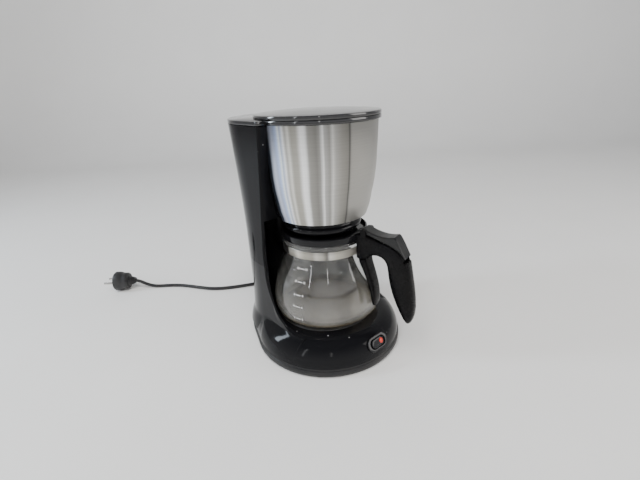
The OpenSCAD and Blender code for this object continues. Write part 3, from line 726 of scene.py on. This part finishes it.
def smoked_tank():
    m, tree, shader = new_material("smoked_tank", (0.1, 0.105, 0.11), 0.3)
    tree.links.new(tint(tree, grain(tree, 20, 4), (0.08, 0.085, 0.09), (0.15, 0.155, 0.16)),
                   shader.inputs["Base Color"])
    tree.links.new(spread(tree, grain(tree, 60, 4), 0.22, 0.42), shader.inputs["Roughness"])
    return m


dress("water_tank", smoked_tank())

# ---- Filter housing and steel band --------------------------------------------------------------------
# A black bowl with a round outlet, wrapped at the front by a thin band of stainless steel; its upright
# streaks are fine brushing, its stripes painted reflections: steps of brightness in its colour round it.
housing_bm = bmesh.new()
bowl = [(50, 178.6), (51.8, 178.9), (53.1, 180), (54, 182), (53.4, 185), (50.7, 188.6), (50, 194.6)]
inner_band = [(r - 0.9, z) for r, z in band_points]
lathe(housing_bm, [(13.5, 178.6)] + through(bowl, 4) + through(inner_band, 5)
      + [(74.4, 315), (73.2, 314.6)] + through([(r - 3.2, z) for r, z in band_points[::-1]], 5)[1:]
      + [(59, 198.5), (47.6, 197.1), (48, 189), (50.9, 184.6), (51, 182.6), (49.2, 181), (13.5, 181)], 128)
lathe(housing_bm, [(68.5, 294), (72.4, 291), (73, 297), (68.5, 297)], 96)
add_piece("housing_bowl", housing_bm, gloss_black("gloss_black_bowl", 0.15, 0.2), "machine",
          ["filter_housing"], edge=34)


def brushed_steel(name, reflection_bands):
    """Stainless steel with fine scratches round the Z axis, which draw every reflection out up and down.

    Each band is (turn in degrees from the front, brightness, warmth): a step of painted reflection, set in
    the colour round the piece.
    """
    m, tree, shader = new_material(name, (0.6, 0.6, 0.59), 0.34, 1.0, Anisotropic=0.95)
    streak = grain(tree, 60, 6, (0.25, 0.25, 30), 0.6)
    fine = grain(tree, 900, 2, (0.12, 0.12, 8))
    place, mapping, round_z, ramp = (node(tree, "ShaderNodeTexCoord"), node(tree, "ShaderNodeMapping"),
                                     node(tree, "ShaderNodeTexGradient", gradient_type="RADIAL"),
                                     node(tree, "ShaderNodeValToRGB"))
    mapping.inputs["Rotation"].default_value = (0, 0, radians(90))
    tree.links.new(place.outputs["Object"], mapping.inputs["Vector"])
    tree.links.new(mapping.outputs["Vector"], round_z.inputs["Vector"])
    wander = node(tree, "ShaderNodeMath", operation="ADD")
    tree.links.new(round_z.outputs["Fac"], wander.inputs[0])
    tree.links.new(spread(tree, grain(tree, 10, 2, (0.4, 0.4, 1)), -0.002, 0.002), wander.inputs[1])
    tree.links.new(wander.outputs[0], ramp.inputs["Fac"])
    # Painted reflections: the colour's brightness and warmth step at the listed turns round the piece.
    stops = ramp.color_ramp.elements
    for k, (angle, reflection_level, reflection_warmth) in enumerate(reflection_bands):
        stop = stops[k] if k < 2 else stops.new(0.5)
        stop.position = 0.5 + angle / 360
        stop.color = (min(1, reflection_level * (1 + 0.03 * reflection_warmth)), reflection_level, min(1, reflection_level * (1 - 0.08 * reflection_warmth)), 1)
    mix = node(tree, "ShaderNodeMix", data_type="RGBA", blend_type="MULTIPLY")
    mix.inputs["Factor"].default_value = 1
    tree.links.new(ramp.outputs["Color"], mix.inputs["A"])
    tree.links.new(tint(tree, spread(tree, streak, 0, 1), (0.84, 0.84, 0.84), (1, 1, 1)), mix.inputs["B"])
    tree.links.new(mix.outputs["Result"], shader.inputs["Base Color"])
    tree.links.new(spread(tree, streak, 0.28, 0.38), shader.inputs["Roughness"])
    shader.inputs["Tangent"].default_value = (0, 0, 1)
    relief(tree, shader, fine, 0.1, 0.00005)
    return m


# The steel band's stripes are painted reflections: (turn, brightness, warmth) steps in its colour.
wrap_reflection_bands = [(-97, 0.03, -3), (-90.5, 0.05, -5), (-88.5, 0.55, -2), (-85, 0.8, -2.5), (-82, 0.55, -4),
              (-79, 0.62, -6), (-76, 1, -2), (-74.4, 0.5, -4), (-71.4, 1, 0), (-69.5, 0.36, 1),
              (-66.5, 0.8, 0.7), (-64, 0.38, 1.4), (-58.5, 0.42, 1.2), (-55, 1, 0), (-51.5, 0.95, 0),
              (-49, 0.32, 0.8), (-42, 0.24, 0.8), (-38.6, 0.36, 0.5), (-37, 1, 0), (-35.4, 0.46, 0.3),
              (-31, 0.32, 0.6), (-28, 0.66, 0.4), (-26, 0.42, 0.6), (-20, 0.3, 1), (-14, 0.24, 1),
              (-12.6, 0.1, 0.5), (-11, 0.36, 0.8), (2, 0.34, 0.8), (8, 0.48, 0.7), (60, 0.52, 0.5)]
band_bm = bmesh.new()
skin = through(band_points, 8)
back = [(r - 0.8, z) for r, z in skin[::-1]]
lathe(band_bm, skin + back, 120, 175, 190)
add_piece("steel_wrap", band_bm, brushed_steel("brushed_steel", wrap_reflection_bands), "machine",
          ["steel_band"], edge=50)

# ---- Lid ----------------------------------------------------------------------------------------------
# A flat deck on the housing's outline, hinged at the back, with the round crowned lid raised on it;
# underneath, the water channel and the shower plate.
lid_r, top_half = 79.5, column_half(315)


def deck_loop(t, z):
    """The deck's outline: round at the front, wide at the column, round at the back."""
    loop = []
    step_x = top_half - t
    y_step = -2 + t
    a0 = math.asin(y_step / (lid_r - t))
    front_arc = [(lid_r - t, -pi - a0 + (pi + 2 * a0) * k / 56) for k in range(57)]
    loop += [(r * cos(a), r * sin(a)) for r, a in front_arc]
    corner = 2.4
    x0 = (lid_r - t) * cos(a0)
    loop += [(x0 + (step_x - corner - x0) * k / 3, y_step) for k in (1, 2)]
    for k in range(7):
        a = radians(-90 + 90 * k / 6)
        loop.append((step_x - corner + corner * cos(a), y_step + corner + corner * sin(a)))
    loop += [(step_x, y_step + corner + (rear_y - y_step - corner) * k / 6) for k in range(1, 6)]
    loop += [(step_x * cos(pi * k / 64), rear_y + step_x * sin(pi * k / 64)) for k in range(65)]
    half = [(-x, y) for x, y in loop[59:71]]
    loop += half[::-1]
    return [(x, y, z) for x, y in loop]


lid_gloss = gloss_black("gloss_black_lid", 0.6, 0.85)
deck_bm = bmesh.new()
loft(deck_bm, [deck_loop(t, z) for t, z in [(2.5, 317.7), (2.5, 315.9), (2.1, 315.7), (0.6, 315.7),
                                            (0.15, 315.9), (0, 316.3), (0, 319.5), (0.25, 320.1),
                                            (0.9, 320.5)]])
knuckle = Matrix.Translation((-15.3, hinge_y, hinge_z)) @ Matrix.Rotation(radians(90), 4, "Y")
lathe(deck_bm, [(1.52, 0), (2.8, 0), (3, 0.3), (3, 30.3), (2.8, 30.6), (1.52, 30.6)], 32, place=knuckle)
add_piece("lid_deck_moulding", deck_bm, lid_gloss, "lid", ["lid_deck"], edge=34)
disc_bm = bmesh.new()
crown = through([(77.9, 325.4), (70, 326.3), (62, 326.9), (42, 328.1), (20, 328.8), (0, 329)], 4)
lathe(disc_bm, [(76.5, 320.55), (78.3, 320.55), (79.1, 320.8), (79.5, 321.6), (79.5, 324.0), (79.2, 324.8),
                (78.6, 325.2)] + crown + [(0, 326.6), (42, 325.7), (62, 324.5), (76.5, 322.8)], 144)
add_piece("lid_round", disc_bm, lid_gloss, "lid", ["lid_disc"], edge=34)
dress("lid_channel", satin, bevel=0.4)
dress("shower_plate", satin)

# ---- Filter basket and drip stop ----------------------------------------------------------------------
# A tapered basket with ribs that keep the paper off the wall, two finger tabs, and a sprung drip stop
# under it.
basket_bm = bmesh.new()
lathe(basket_bm, [(4.2, 186), (9.6, 186), (9.6, 180), (12, 180), (12, 186), (35.4, 186), (36.6, 186.4),
                  (40, 190), (66, 293), (67.6, 297.2), (71.8, 297.2), (72.2, 297.6), (72.2, 299),
                  (71.8, 299.4), (66.4, 299.4), (66, 299), (64.2, 293.4), (38.2, 191.2), (35, 188),
                  (4.2, 188)], 112)
add_piece("basket_moulding", basket_bm, satin, "basket", ["filter_basket"], edge=34)
dress("basket_tabs", satin, bevel=0.5)


def basket_ribs():
    """Geometry Nodes: the upright ribs inside the basket, one slim bar turned round the axis."""
    tree = bpy.data.node_groups.new("basket_ribs", "GeometryNodeTree")
    for name, kind, value in (("Ribs", "NodeSocketInt", 24), ("Foot radius", "NodeSocketFloat", 0.0386),
                              ("Top radius", "NodeSocketFloat", 0.0630),
                              ("Foot height", "NodeSocketFloat", 0.195),
                              ("Top height", "NodeSocketFloat", 0.288),
                              ("Width", "NodeSocketFloat", 0.0012)):
        s = tree.interface.new_socket(name, in_out="INPUT", socket_type=kind)
        s.default_value = value
    tree.interface.new_socket("Geometry", in_out="OUTPUT", socket_type="NodeSocketGeometry")
    make, link = tree.nodes.new, tree.links.new
    gin, gout = make("NodeGroupInput"), make("NodeGroupOutput")

    def point(radius, height):
        n = make("ShaderNodeCombineXYZ")
        link(gin.outputs[radius], n.inputs["X"])
        link(gin.outputs[height], n.inputs["Z"])
        return n.outputs[0]

    bar = make("GeometryNodeCurvePrimitiveLine")
    link(point("Foot radius", "Foot height"), bar.inputs["Start"])
    link(point("Top radius", "Top height"), bar.inputs["End"])
    section = make("GeometryNodeCurvePrimitiveCircle")
    section.inputs["Resolution"].default_value = 8
    link(gin.outputs["Width"], section.inputs["Radius"])
    skin = make("GeometryNodeCurveToMesh")
    skin.inputs["Fill Caps"].default_value = True
    link(bar.outputs[0], skin.inputs["Curve"])
    link(section.outputs[0], skin.inputs["Profile Curve"])
    places = make("GeometryNodeMeshLine")
    places.inputs["Offset"].default_value = (0, 0, 0)
    link(gin.outputs["Ribs"], places.inputs["Count"])
    index, turn, angle = make("GeometryNodeInputIndex"), make("ShaderNodeMath"), make("ShaderNodeCombineXYZ")
    step = make("ShaderNodeMath")
    step.operation, turn.operation = "DIVIDE", "MULTIPLY"
    step.inputs[0].default_value = 2 * pi
    link(gin.outputs["Ribs"], step.inputs[1])
    link(index.outputs[0], turn.inputs[0])
    link(step.outputs[0], turn.inputs[1])
    link(turn.outputs[0], angle.inputs["Z"])
    copies, real, paint = (make("GeometryNodeInstanceOnPoints"), make("GeometryNodeRealizeInstances"),
                           make("GeometryNodeSetMaterial"))
    link(places.outputs[0], copies.inputs["Points"])
    link(skin.outputs[0], copies.inputs["Instance"])
    link(angle.outputs[0], copies.inputs["Rotation"])
    link(copies.outputs[0], real.inputs[0])
    link(real.outputs[0], paint.inputs["Geometry"])
    paint.inputs["Material"].default_value = satin
    link(paint.outputs[0], gout.inputs[0])
    return tree


def grow(name, tree, **inputs):
    """Runs a node tree on an empty mesh and returns the plain mesh object that it makes."""
    carrier = bpy.data.objects.new(name + "_carrier", bpy.data.meshes.new(name + "_carrier"))
    scene.collection.objects.link(carrier)
    growth = carrier.modifiers.new("growth", "NODES")
    growth.node_group = tree
    sockets = {i.name: i.identifier for i in tree.interface.items_tree if i.in_out == "INPUT"}
    for key, value in inputs.items():
        growth[sockets[key.replace("_", " ")]] = value
    depsgraph = bpy.context.evaluated_depsgraph_get()
    mesh = bpy.data.meshes.new_from_object(carrier.evaluated_get(depsgraph))
    bpy.data.objects.remove(carrier)
    mesh.name = name
    ob = bpy.data.objects.new(name, mesh)
    scene.collection.objects.link(ob)
    return ob


ribs = grow("basket_ribs", basket_ribs(), Ribs=24)
for p in ribs.data.polygons:
    p.use_smooth = True
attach(ribs, "basket")
dress("valve_plunger", ceramic, bevel=0.4)


def spring_wire():
    m, tree, shader = new_material("spring_wire", (0.6, 0.6, 0.6), 0.25, 1.0)
    tree.links.new(spread(tree, grain(tree, 900), 0.18, 0.36), shader.inputs["Roughness"])
    return m


spring_steel = spring_wire()
finish_node("valve_spring", spring_steel)

# ---- Jug: glass, marks and band -----------------------------------------------------------------------
# Blown borosilicate glass with a heavy rounded foot, white printed cup marks and a stainless band round
# the neck.
jug_place = Matrix.Translation((2, -1.5, 0)) @ Matrix.Rotation(radians(14), 4, "Z")
floor_z, jug_r, neck_r, neck_z, glass_t = 51.0, 77.8, 57.6, 165.0, 2.0
wall_points = [(66, floor_z + 0.2), (72, floor_z + 2.2), (75.6, floor_z + 6.5), (jug_r - 0.6, floor_z + 13),
               (jug_r, 72), (jug_r - 0.7, 82), (74.6, 96), (70.2, 111), (65.4, 123), (61.2, 132),
               (58.4, 140), (neck_r, 146), (neck_r, 150)]
glass_out = [(0, floor_z + 0.9), (40, floor_z + 0.7), (56, floor_z), (60, floor_z)] + through(wall_points,
                                                                                              5) + [
    (neck_r, 158), (neck_r, neck_z - 0.6)]
glass_in = [(r - glass_t, z) for r, z in glass_out if z > 70 and r < jug_r + 1][::-1]
glass_in += [(74.9, 66), (73.6, 61), (71.6, 57.6), (68.6, 55), (64, 53.8), (50, 53.7), (0, 54)]
glass_bm = bmesh.new()
lathe(glass_bm, glass_out + [(neck_r - 0.6, neck_z), (neck_r - glass_t + 0.6, neck_z)] + glass_in, 144,
      place=jug_place)


def clear_glass():
    """Used glass: clear, with a thin dry film that grows towards the foot, and a coffee tint there."""
    m, tree, shader = new_material("clear_glass", (0.97, 0.975, 0.97), 0.0, IOR=1.47)
    shader.inputs["Transmission Weight"].default_value = 1.0
    place, split = node(tree, "ShaderNodeTexCoord"), node(tree, "ShaderNodeSeparateXYZ")
    tree.links.new(place.outputs["Object"], split.inputs[0])
    foot = spread(tree, split.outputs["Z"], 1, 0, 0.0525, 0.062)
    tree.links.new(tint(tree, foot, (0.955, 0.965, 0.955), (0.80, 0.66, 0.44)), shader.inputs["Base Color"])
    relief(tree, shader, grain(tree, 22, 2), 0.05, 0.0005)
    film = node(tree, "ShaderNodeBsdfPrincipled")
    film.inputs["Roughness"].default_value = 0.45
    tree.links.new(tint(tree, foot, (0.72, 0.71, 0.68), (0.62, 0.5, 0.32)), film.inputs["Base Color"])
    blotch = spread(tree, grain(tree, 30, 5, (1, 1, 0.5), 0.65), 0.0, 0.09, 0.4, 0.75)
    neck = spread(tree, split.outputs["Z"], 0, 0.04, 0.150, 0.158)
    low = spread(tree, split.outputs["Z"], 0.10, 0, 0.060, 0.098)
    total = node(tree, "ShaderNodeMath", operation="ADD")
    tree.links.new(blotch, total.inputs[0])
    tree.links.new(neck, total.inputs[1])
    share = node(tree, "ShaderNodeMath", operation="ADD")
    tree.links.new(total.outputs[0], share.inputs[0])
    tree.links.new(low, share.inputs[1])
    layers = node(tree, "ShaderNodeMixShader")
    tree.links.new(share.outputs[0], layers.inputs[0])
    tree.links.new(shader.outputs[0], layers.inputs[1])
    tree.links.new(film.outputs[0], layers.inputs[2])
    tree.links.new(layers.outputs[0], tree.nodes["Material Output"].inputs["Surface"])
    return m


glass = clear_glass()
add_piece("jug_vessel", glass_bm, glass, "jug", ["jug_glass"], edge=60)
# The neck band's stripes are painted reflections as well: (turn, brightness, warmth) steps in its colour,
# dark on its left.
collar_reflection_bands = [(-112, 0.05, 1), (-97, 0.06, 1), (-94, 0.5, 1), (-84, 0.38, 1.6), (-76, 0.75, 1.2),
                (-66, 0.42, 1.8), (-55, 0.36, 1.6), (-50, 0.62, 1), (-42, 0.42, 1.4), (-36, 0.15, 1),
                (-33, 0.7, 0.8), (-24, 0.48, 1.6), (-10, 0.4, 1.4), (4, 0.36, 1.4), (60, 0.5, 1)]
collar_bm = bmesh.new()
lathe(collar_bm, [(neck_r + 0.1, 146.4), (neck_r + 0.9, 146.4), (neck_r + 1.2, 146.8),
                  (neck_r + 1.2, 157.0), (neck_r + 0.9, 157.4), (neck_r + 0.1, 157.4)], 144,
      place=jug_place)
add_piece("jug_band_ring", collar_bm, brushed_steel("jug_band_steel", collar_reflection_bands), "jug",
          ["jug_band"], edge=50)


def white_print():
    m, tree, shader = new_material("white_print", (0.85, 0.85, 0.83), 0.5)
    tree.links.new(tint(tree, grain(tree, 900, 3), (0.72, 0.72, 0.7), (0.9, 0.9, 0.88)),
                   shader.inputs["Base Color"])
    return m


def wall_radius(z):
    return between([(b, a) for a, b in through(wall_points, 5)], z)


def print_on_glass(name, items, material, angle):
    """Lays flat outlines on the glass; each is (text or bar, across in mm, height in mm, size in mm)."""
    whole = bmesh.new()
    for what, across, z, size in items:
        if what is None:
            part = bmesh.new()
            bmesh.ops.create_grid(part, x_segments=8, y_segments=1, size=0.5)
            for v in part.verts:
                v.co = Vector((v.co.x * size, v.co.y * 0.9, 0))
        else:
            words = bpy.data.curves.new("figures", "FONT")
            words.body = what
            words.size = size
            words.align_x = "CENTER"
            words.align_y = "CENTER"
            words.offset = 0.02 * size
            words.resolution_u = 3
            holder = bpy.data.objects.new("figures", words)
            scene.collection.objects.link(holder)
            depsgraph = bpy.context.evaluated_depsgraph_get()
            flat = bpy.data.meshes.new_from_object(holder.evaluated_get(depsgraph))
            bpy.data.objects.remove(holder)
            part = bmesh.new()
            part.from_mesh(flat)
        for v in part.verts:
            zz = z + v.co.y
            r = wall_radius(zz) + 0.06
            a = radians(angle) + (across + v.co.x) / r
            v.co = jug_place @ Vector((r * cos(a), r * sin(a), zz)) * MM
        scrap = bpy.data.meshes.new("scrap")
        part.to_mesh(scrap)
        part.free()
        whole.from_mesh(scrap)
        bpy.data.meshes.remove(scrap)
    mesh = bpy.data.meshes.new(name)
    whole.to_mesh(mesh)
    whole.free()
    mesh.materials.append(material)
    ob = bpy.data.objects.new(name, mesh)
    scene.collection.objects.link(ob)
    layer = ob.modifiers.new("layer", "SOLIDIFY")
    layer.thickness = 0.00008
    layer.offset = 1
    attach(ob, "jug")
    return ob


marks = []
for (left, right), z in zip((("2", "3"), ("4", "6"), ("6", "9"), ("8", "12"), ("10", "15")),
                            (66, 84, 100, 117, 133)):
    marks += [(left, -6.2, z, 4.2), (None, 0, z, 7.0), (right, 6.4, z, 4.2)]
print_on_glass("cup_marks", marks, white_print(), 184.5)

# ---- Jug lid ------------------------------------------------------------------------------------------
# A black moulded lid that sits in the neck, with a rim over the glass, a raised hole for the coffee, and
# a tongue to the handle.
jug_gloss = gloss_black("gloss_black_jug", 0.5, 0.25)
jug_lid_bm = bmesh.new()
lathe(jug_lid_bm, [(4.5, 171.2), (8, 171.2), (54.6, 167.8), (54.6, 160), (55.3, 160), (55.3, 165.3),
                   (59.1, 165.3), (59.8, 165.8), (60, 166.5), (60, 173.3), (59.7, 174.2), (58.9, 174.6),
                   (58, 174.6), (57.2, 174.1), (55.9, 171), (55, 170.3), (30, 172), (9, 173.5),
                   (5.2, 173.6), (4.7, 173.4), (4.5, 172.9)], 144,
      place=jug_place)

# ---- Handle, glass guard and thumb lever --------------------------------------------------------------
# Satin black moulding clamped round the neck band, arching over and down; a slim guard stands off the
# glass, and a sprung thumb lever lies in a channel along the top of the arch and ends in a lip over its
# shoulder.


def grip_satin():
    m, tree, shader = new_material("grip_black", (0.003, 0.003, 0.0034), 0.3, Specular_IOR_Level=0.1)
    tree.links.new(tint(tree, spread(tree, grain(tree, 35, 4), 0, 1), (0.0025, 0.0025, 0.003),
                        (0.006, 0.0055, 0.0055)),
                   shader.inputs["Base Color"])
    tree.links.new(spread(tree, grain(tree, 110, 3), 0.22, 0.34), shader.inputs["Roughness"])
    relief(tree, shader, grain(tree, 2600), 0.1, 0.0001)
    return m


grip_black = grip_satin()


def tapered_loop(outer, inner, width, corner=2.6, n=28, keel=0.0):
    """A rounded section between an outer and an inner point of the side view (distance, height)."""
    o, i = Vector((-outer[0], outer[1])), Vector((-inner[0], inner[1]))
    centre, half = (o + i) / 2, (o - i) / 2
    loop = []
    for k in range(n):
        a = 2 * pi * k / n
        c, s = cos(a), sin(a)
        u = math.copysign(abs(c) ** (2 / corner), c)
        v = math.copysign(abs(s) ** (2 / corner), s)
        wide = width / 2 * (1 - keel * max(0, u))
        p = centre + half * u
        loop.append(jug_place @ Vector((v * wide, p.x, p.y)))
    return loop


def hollow(bm, cutter):
    """Takes one closed mesh out of another."""
    pair = []
    for name, part in (("whole", bm), ("cutter", cutter)):
        bmesh.ops.remove_doubles(part, verts=part.verts, dist=1e-6)
        bmesh.ops.recalc_face_normals(part, faces=part.faces)
        mesh = bpy.data.meshes.new(name)
        part.to_mesh(mesh)
        part.free()
        pair.append(bpy.data.objects.new(name, mesh))
        scene.collection.objects.link(pair[-1])
    cut = pair[0].modifiers.new("cut", "BOOLEAN")
    cut.object = pair[1]
    cut.operation = "DIFFERENCE"
    cut.solver = "EXACT"
    result = bpy.data.meshes.new_from_object(pair[0].evaluated_get(bpy.context.evaluated_depsgraph_get()))
    out = bmesh.new()
    out.from_mesh(result)
    for ob in pair:
        bpy.data.objects.remove(ob)
    bpy.data.meshes.remove(result)
    return out


def flat_loft(bm, outline, width):
    """A side view of (distance, height) points made a given width thick."""
    loft(bm, [[jug_place @ Vector((x, -d, z)) for d, z in outline] for x in (-width / 2, width / 2)])


# The lid's rim is cut away opposite the handle, where the coffee pours out.
notch_bm = bmesh.new()
loft(notch_bm, [[jug_place @ Vector((x, y, z)) for x,
                 y in ((-25.5, 40), (25.5, 40), (25.5, 80), (-25.5, 80))]
                for z in (170.3, 180)])
jug_lid_bm = hollow(jug_lid_bm, notch_bm)
add_piece("jug_lid_moulding", jug_lid_bm, jug_gloss, "jug", ["jug_lid"], edge=34)
tongue = [((44, 169.6), (44, 169), 50), ((50, 172.6), (50, 169), 47), ((53, 174.8), (53, 169), 42),
          ((56, 176.8), (56, 169), 36), ((57.6, 177.8), (57.6, 169.2), 31)]
arm = [((56.4, 176.9), (56.4, 176.3), 34), ((58, 178.1), (58, 176.4), 29), ((60, 179.4), (60, 176.5), 24.4),
       ((63.3, 181), (63.3, 176.6), 20)]
tongue_bm = bmesh.new()
for steps in (tongue, arm):
    loft(tongue_bm, [tapered_loop(o, i, w, 6, 40) for o, i, w in steps])
handle_pairs = [((58.9, 175.9), (58.9, 140.3), 23, 8), ((66, 174.8), (66, 140.3), 23, 8),
                ((71, 173.9), (71.4, 140.6), 23, 6.5), ((78, 172.9), (76.2, 145.2), 23, 5),
                ((86, 171.6), (81.2, 148.3), 23, 4.2), ((95, 169.9), (87, 149), 23, 3.8),
                ((104, 168.1), (92.4, 147.6), 23, 3.5), ((112, 165), (96.4, 144.6), 23, 3.3),
                ((119.4, 160.6), (98.8, 140.6), 23, 3.1), ((125.4, 155.9), (100.2, 135.6), 23, 3),
                ((128.4, 147.6), (100.8, 130.6), 23, 2.9), ((130.6, 137), (101.6, 124), 23, 2.8),
                ((132.8, 125.6), (103, 116.6), 23, 2.7), ((134.8, 114.6), (104.8, 109), 22.8, 2.7),
                ((136.6, 103), (107.2, 100.6), 22.6, 2.6), ((137.8, 92.4), (110.4, 92.6), 22.2, 2.6),
                ((138.3, 83.4), (114.4, 83.6), 21.4, 2.5), ((137.8, 74.6), (118.8, 75), 20, 2.4),
                ((136.4, 67), (123, 67.2), 17.4, 2.3), ((134.2, 62), (126.4, 62.8), 13.6, 2.2),
                ((131.8, 59.4), (128.6, 59.8), 8, 2), ((130.8, 58.6), (129.6, 58.7), 3, 2)]
handle_bm = bmesh.new()
loft(handle_bm, [tapered_loop(o, i, w, e, 48) for o, i, w, e in handle_pairs])
channel_bm = bmesh.new()
flat_loft(channel_bm, [(62.5, 190), (62.5, 173.4), (72, 173.6), (87, 168.2), (103.5, 161.8), (115.6, 153.8),
                       (120.6, 146.2), (150, 146.2), (150, 190)], 19.2)
handle_bm = hollow(handle_bm, channel_bm)
for s in (-1, 1):
    ring = [(64.4, 172), (72, 172), (72, 180.6), (70.6, 182.1), (68, 182.4), (65.6, 182), (64.2, 180.2)]
    loft(handle_bm, [[jug_place @ Vector((x, -d, z)) for d, z in ring] for x in (s * 10.5 - 1,
                                                                                 s * 10.5 + 1)])
add_piece("handle_moulding", handle_bm, grip_black, "jug", ["jug_handle"], edge=42)
guard_pairs = [((71, 140.1), (60.5, 140.1), 21, 6), ((72.6, 134.4), (61.2, 135.4), 21, 5),
               ((74.4, 128.8), (63.8, 129.2), 21, 4.2), ((77.4, 120.4), (67.8, 120.6), 21, 3.6),
               ((80.2, 112), (71.3, 112), 21, 3.2), ((82.6, 103.6), (74, 103.2), 20.8, 3),
               ((84.4, 94.6), (76.3, 94.2), 20.4, 2.8), ((85.4, 86.6), (78, 86), 19.8, 2.7),
               ((85.3, 80), (78.9, 79.4), 18.8, 2.5), ((84.9, 75.6), (79.8, 75), 16.4, 2.3),
               ((84.1, 72.6), (80.8, 72.5), 11, 2.1), ((83.2, 71.2), (82, 71.2), 4, 2)]
guard_bm = bmesh.new()
loft(guard_bm, [tapered_loop(o, i, w, e, 36) for o, i, w, e in guard_pairs])
add_piece("guard_moulding", guard_bm, grip_black, "jug", ["jug_guard"], edge=48)
lever_pairs = [((64.2, 181.4), (64.2, 179.4), 18.6, 4), ((66.6, 183.8), (66.8, 178.2), 18.6, 6),
               ((70, 183), (70.6, 176.6), 18.6, 7), ((74, 181), (75, 175.1), 18.6, 8),
               ((78.5, 179.5), (79.4, 173.9), 18.6, 8), ((83, 178.4), (84, 172.6), 18.6, 8),
               ((88.5, 177.5), (89.4, 171.1), 18.6, 8), ((94, 177), (94.6, 169.5), 18.6, 8),
               ((99.5, 177.2), (99.8, 168), 18.6, 8), ((104, 177.8), (104.2, 166.7), 18.6, 8),
               ((108, 178.7), (108.4, 164.7), 18.6, 8), ((110, 179.1), (110.8, 163.5), 18.6, 8),
               ((111.8, 178.1), (113, 162.3), 18.6, 7), ((113.4, 176.1), (115, 161.2), 18.6, 6),
               ((115.4, 172.8), (117, 160.2), 18.6, 5.4), ((118, 168.4), (119.2, 158.4), 18.6, 4.8),
               ((120.2, 164), (120.8, 156.7), 18.6, 4.2), ((122, 160.4), (122.2, 155.2), 18.4, 3.6),
               ((124, 157), (123.4, 153.8), 18.2, 3.2), ((126, 153.6), (124.6, 152.5), 17.8, 2.4)]
lever_bm = bmesh.new()
loft(lever_bm, [tapered_loop(o, i, w, e, 44) for o, i, w, e in lever_pairs])


def lever_satin():
    m, tree, shader = new_material("lever_satin", (0.008, 0.008, 0.009), 0.34, Specular_IOR_Level=0.34)
    tree.links.new(tint(tree, spread(tree, grain(tree, 40, 4), 0, 1), (0.006, 0.006, 0.007),
                        (0.012, 0.012, 0.011)),
                   shader.inputs["Base Color"])
    tree.links.new(spread(tree, grain(tree, 150, 3), 0.28, 0.4), shader.inputs["Roughness"])
    relief(tree, shader, grain(tree, 2400), 0.3, 0.00015)
    return m


thumb_satin = lever_satin()
add_piece("lever_moulding", lever_bm, thumb_satin, "lever", ["thumb_lever"], edge=40)
add_piece("jug_lid_tongue", tongue_bm, thumb_satin, "jug", edge=40)
dress("lever_pin", zinced)
dress("guard_screw", zinced)
finish_node("lever_spring", spring_steel)

# ---- Table, backdrop and light ------------------------------------------------------------------------
# A plain pale table runs up into a pale wall. A soft key light hangs above, a window-like one stands at
# the left with two thin strips beside it, and a weaker one fills from the right.
stage_mesh = bpy.data.meshes.new("table_and_wall")
stage_bm = bmesh.new()
turn = Matrix.Rotation(radians(-40), 4, "Z")
sweep = [(-9.0, 0)] + [(1.5 + 0.5 * sin(radians(a)), 0.5 - 0.5 * cos(radians(a))) for a in range(0, 91, 10)]
sweep.append((2.0, 6))
rows = []
for x in (-14, 14):
    rows.append([stage_bm.verts.new(turn @ Vector((x, y, z))) for y, z in sweep])
for k in range(len(sweep) - 1):
    stage_bm.faces.new([rows[0][k], rows[1][k], rows[1][k + 1], rows[0][k + 1]])
stage_bm.to_mesh(stage_mesh)
stage_bm.free()
for p in stage_mesh.polygons:
    p.use_smooth = True
stage_ob = bpy.data.objects.new("table_and_wall", stage_mesh)
scene.collection.objects.link(stage_ob)
pale, tree, shader = new_material("pale_table", (0.86, 0.855, 0.84), 0.6)
tree.links.new(tint(tree, grain(tree, 6, 4), (0.84, 0.835, 0.82), (0.88, 0.875, 0.86)),
               shader.inputs["Base Color"])
stage_mesh.materials.append(pale)


def soft_light(name, place, size, power, colour=(1, 1, 1), shine=True):
    """An area light aimed at the machine."""
    lamp = bpy.data.lights.new(name, "AREA")
    lamp.shape = "RECTANGLE"
    lamp.size, lamp.size_y = size
    lamp.energy = power
    lamp.color = colour
    ob = bpy.data.objects.new(name, lamp)
    ob.location = place
    ob.rotation_euler = (Vector((0, 0, 0.15)) - Vector(place)).to_track_quat("-Z", "Y").to_euler()
    ob.visible_glossy = shine
    scene.collection.objects.link(ob)


def around(turn, distance, height):
    """A place by its turn from the camera's side, in degrees to the right."""
    a = radians(turn - 40)
    return (distance * sin(a), -distance * cos(a), height)


soft_light("key_above", around(-10, 1.0, 1.8), (1.4, 1.4), 42, (1.0, 0.98, 0.95), shine=False)
soft_light("window_left", around(-88, 1.5, 0.8), (0.22, 0.8), 13, (0.80, 0.9, 1.0))
soft_light("strip_left", around(-38, 1.4, 0.7), (0.05, 0.9), 1.2, (0.95, 0.97, 1.0))
soft_light("strip_front", around(3, 1.5, 0.75), (0.04, 0.5), 0.5, (1.0, 0.99, 0.97))
soft_light("fill_right", around(75, 1.6, 0.7), (0.9, 0.9), 9, (1.0, 0.97, 0.94))

world = bpy.data.worlds.new("studio")
scene.world = world
world.use_nodes = True
wt = world.node_tree
wt.nodes.clear()
sky = {kind: wt.nodes.new("ShaderNode" + kind) for kind in ("TexCoord", "SeparateXYZ", "ValToRGB",
                                                            "Background",
                                                             "OutputWorld")}
wt.links.new(sky["TexCoord"].outputs["Generated"], sky["SeparateXYZ"].inputs[0])
wt.links.new(sky["SeparateXYZ"].outputs["Z"], sky["ValToRGB"].inputs["Fac"])
ramp = sky["ValToRGB"].color_ramp.elements
ramp[0].position, ramp[0].color = 0.05, (0.95, 0.95, 0.96, 1)
ramp[1].position, ramp[1].color = 0.75, (0.10, 0.11, 0.13, 1)
wt.links.new(sky["ValToRGB"].outputs["Color"], sky["Background"].inputs["Color"])
sky["Background"].inputs["Strength"].default_value = 1.2
wt.links.new(sky["Background"].outputs[0], sky["OutputWorld"].inputs["Surface"])
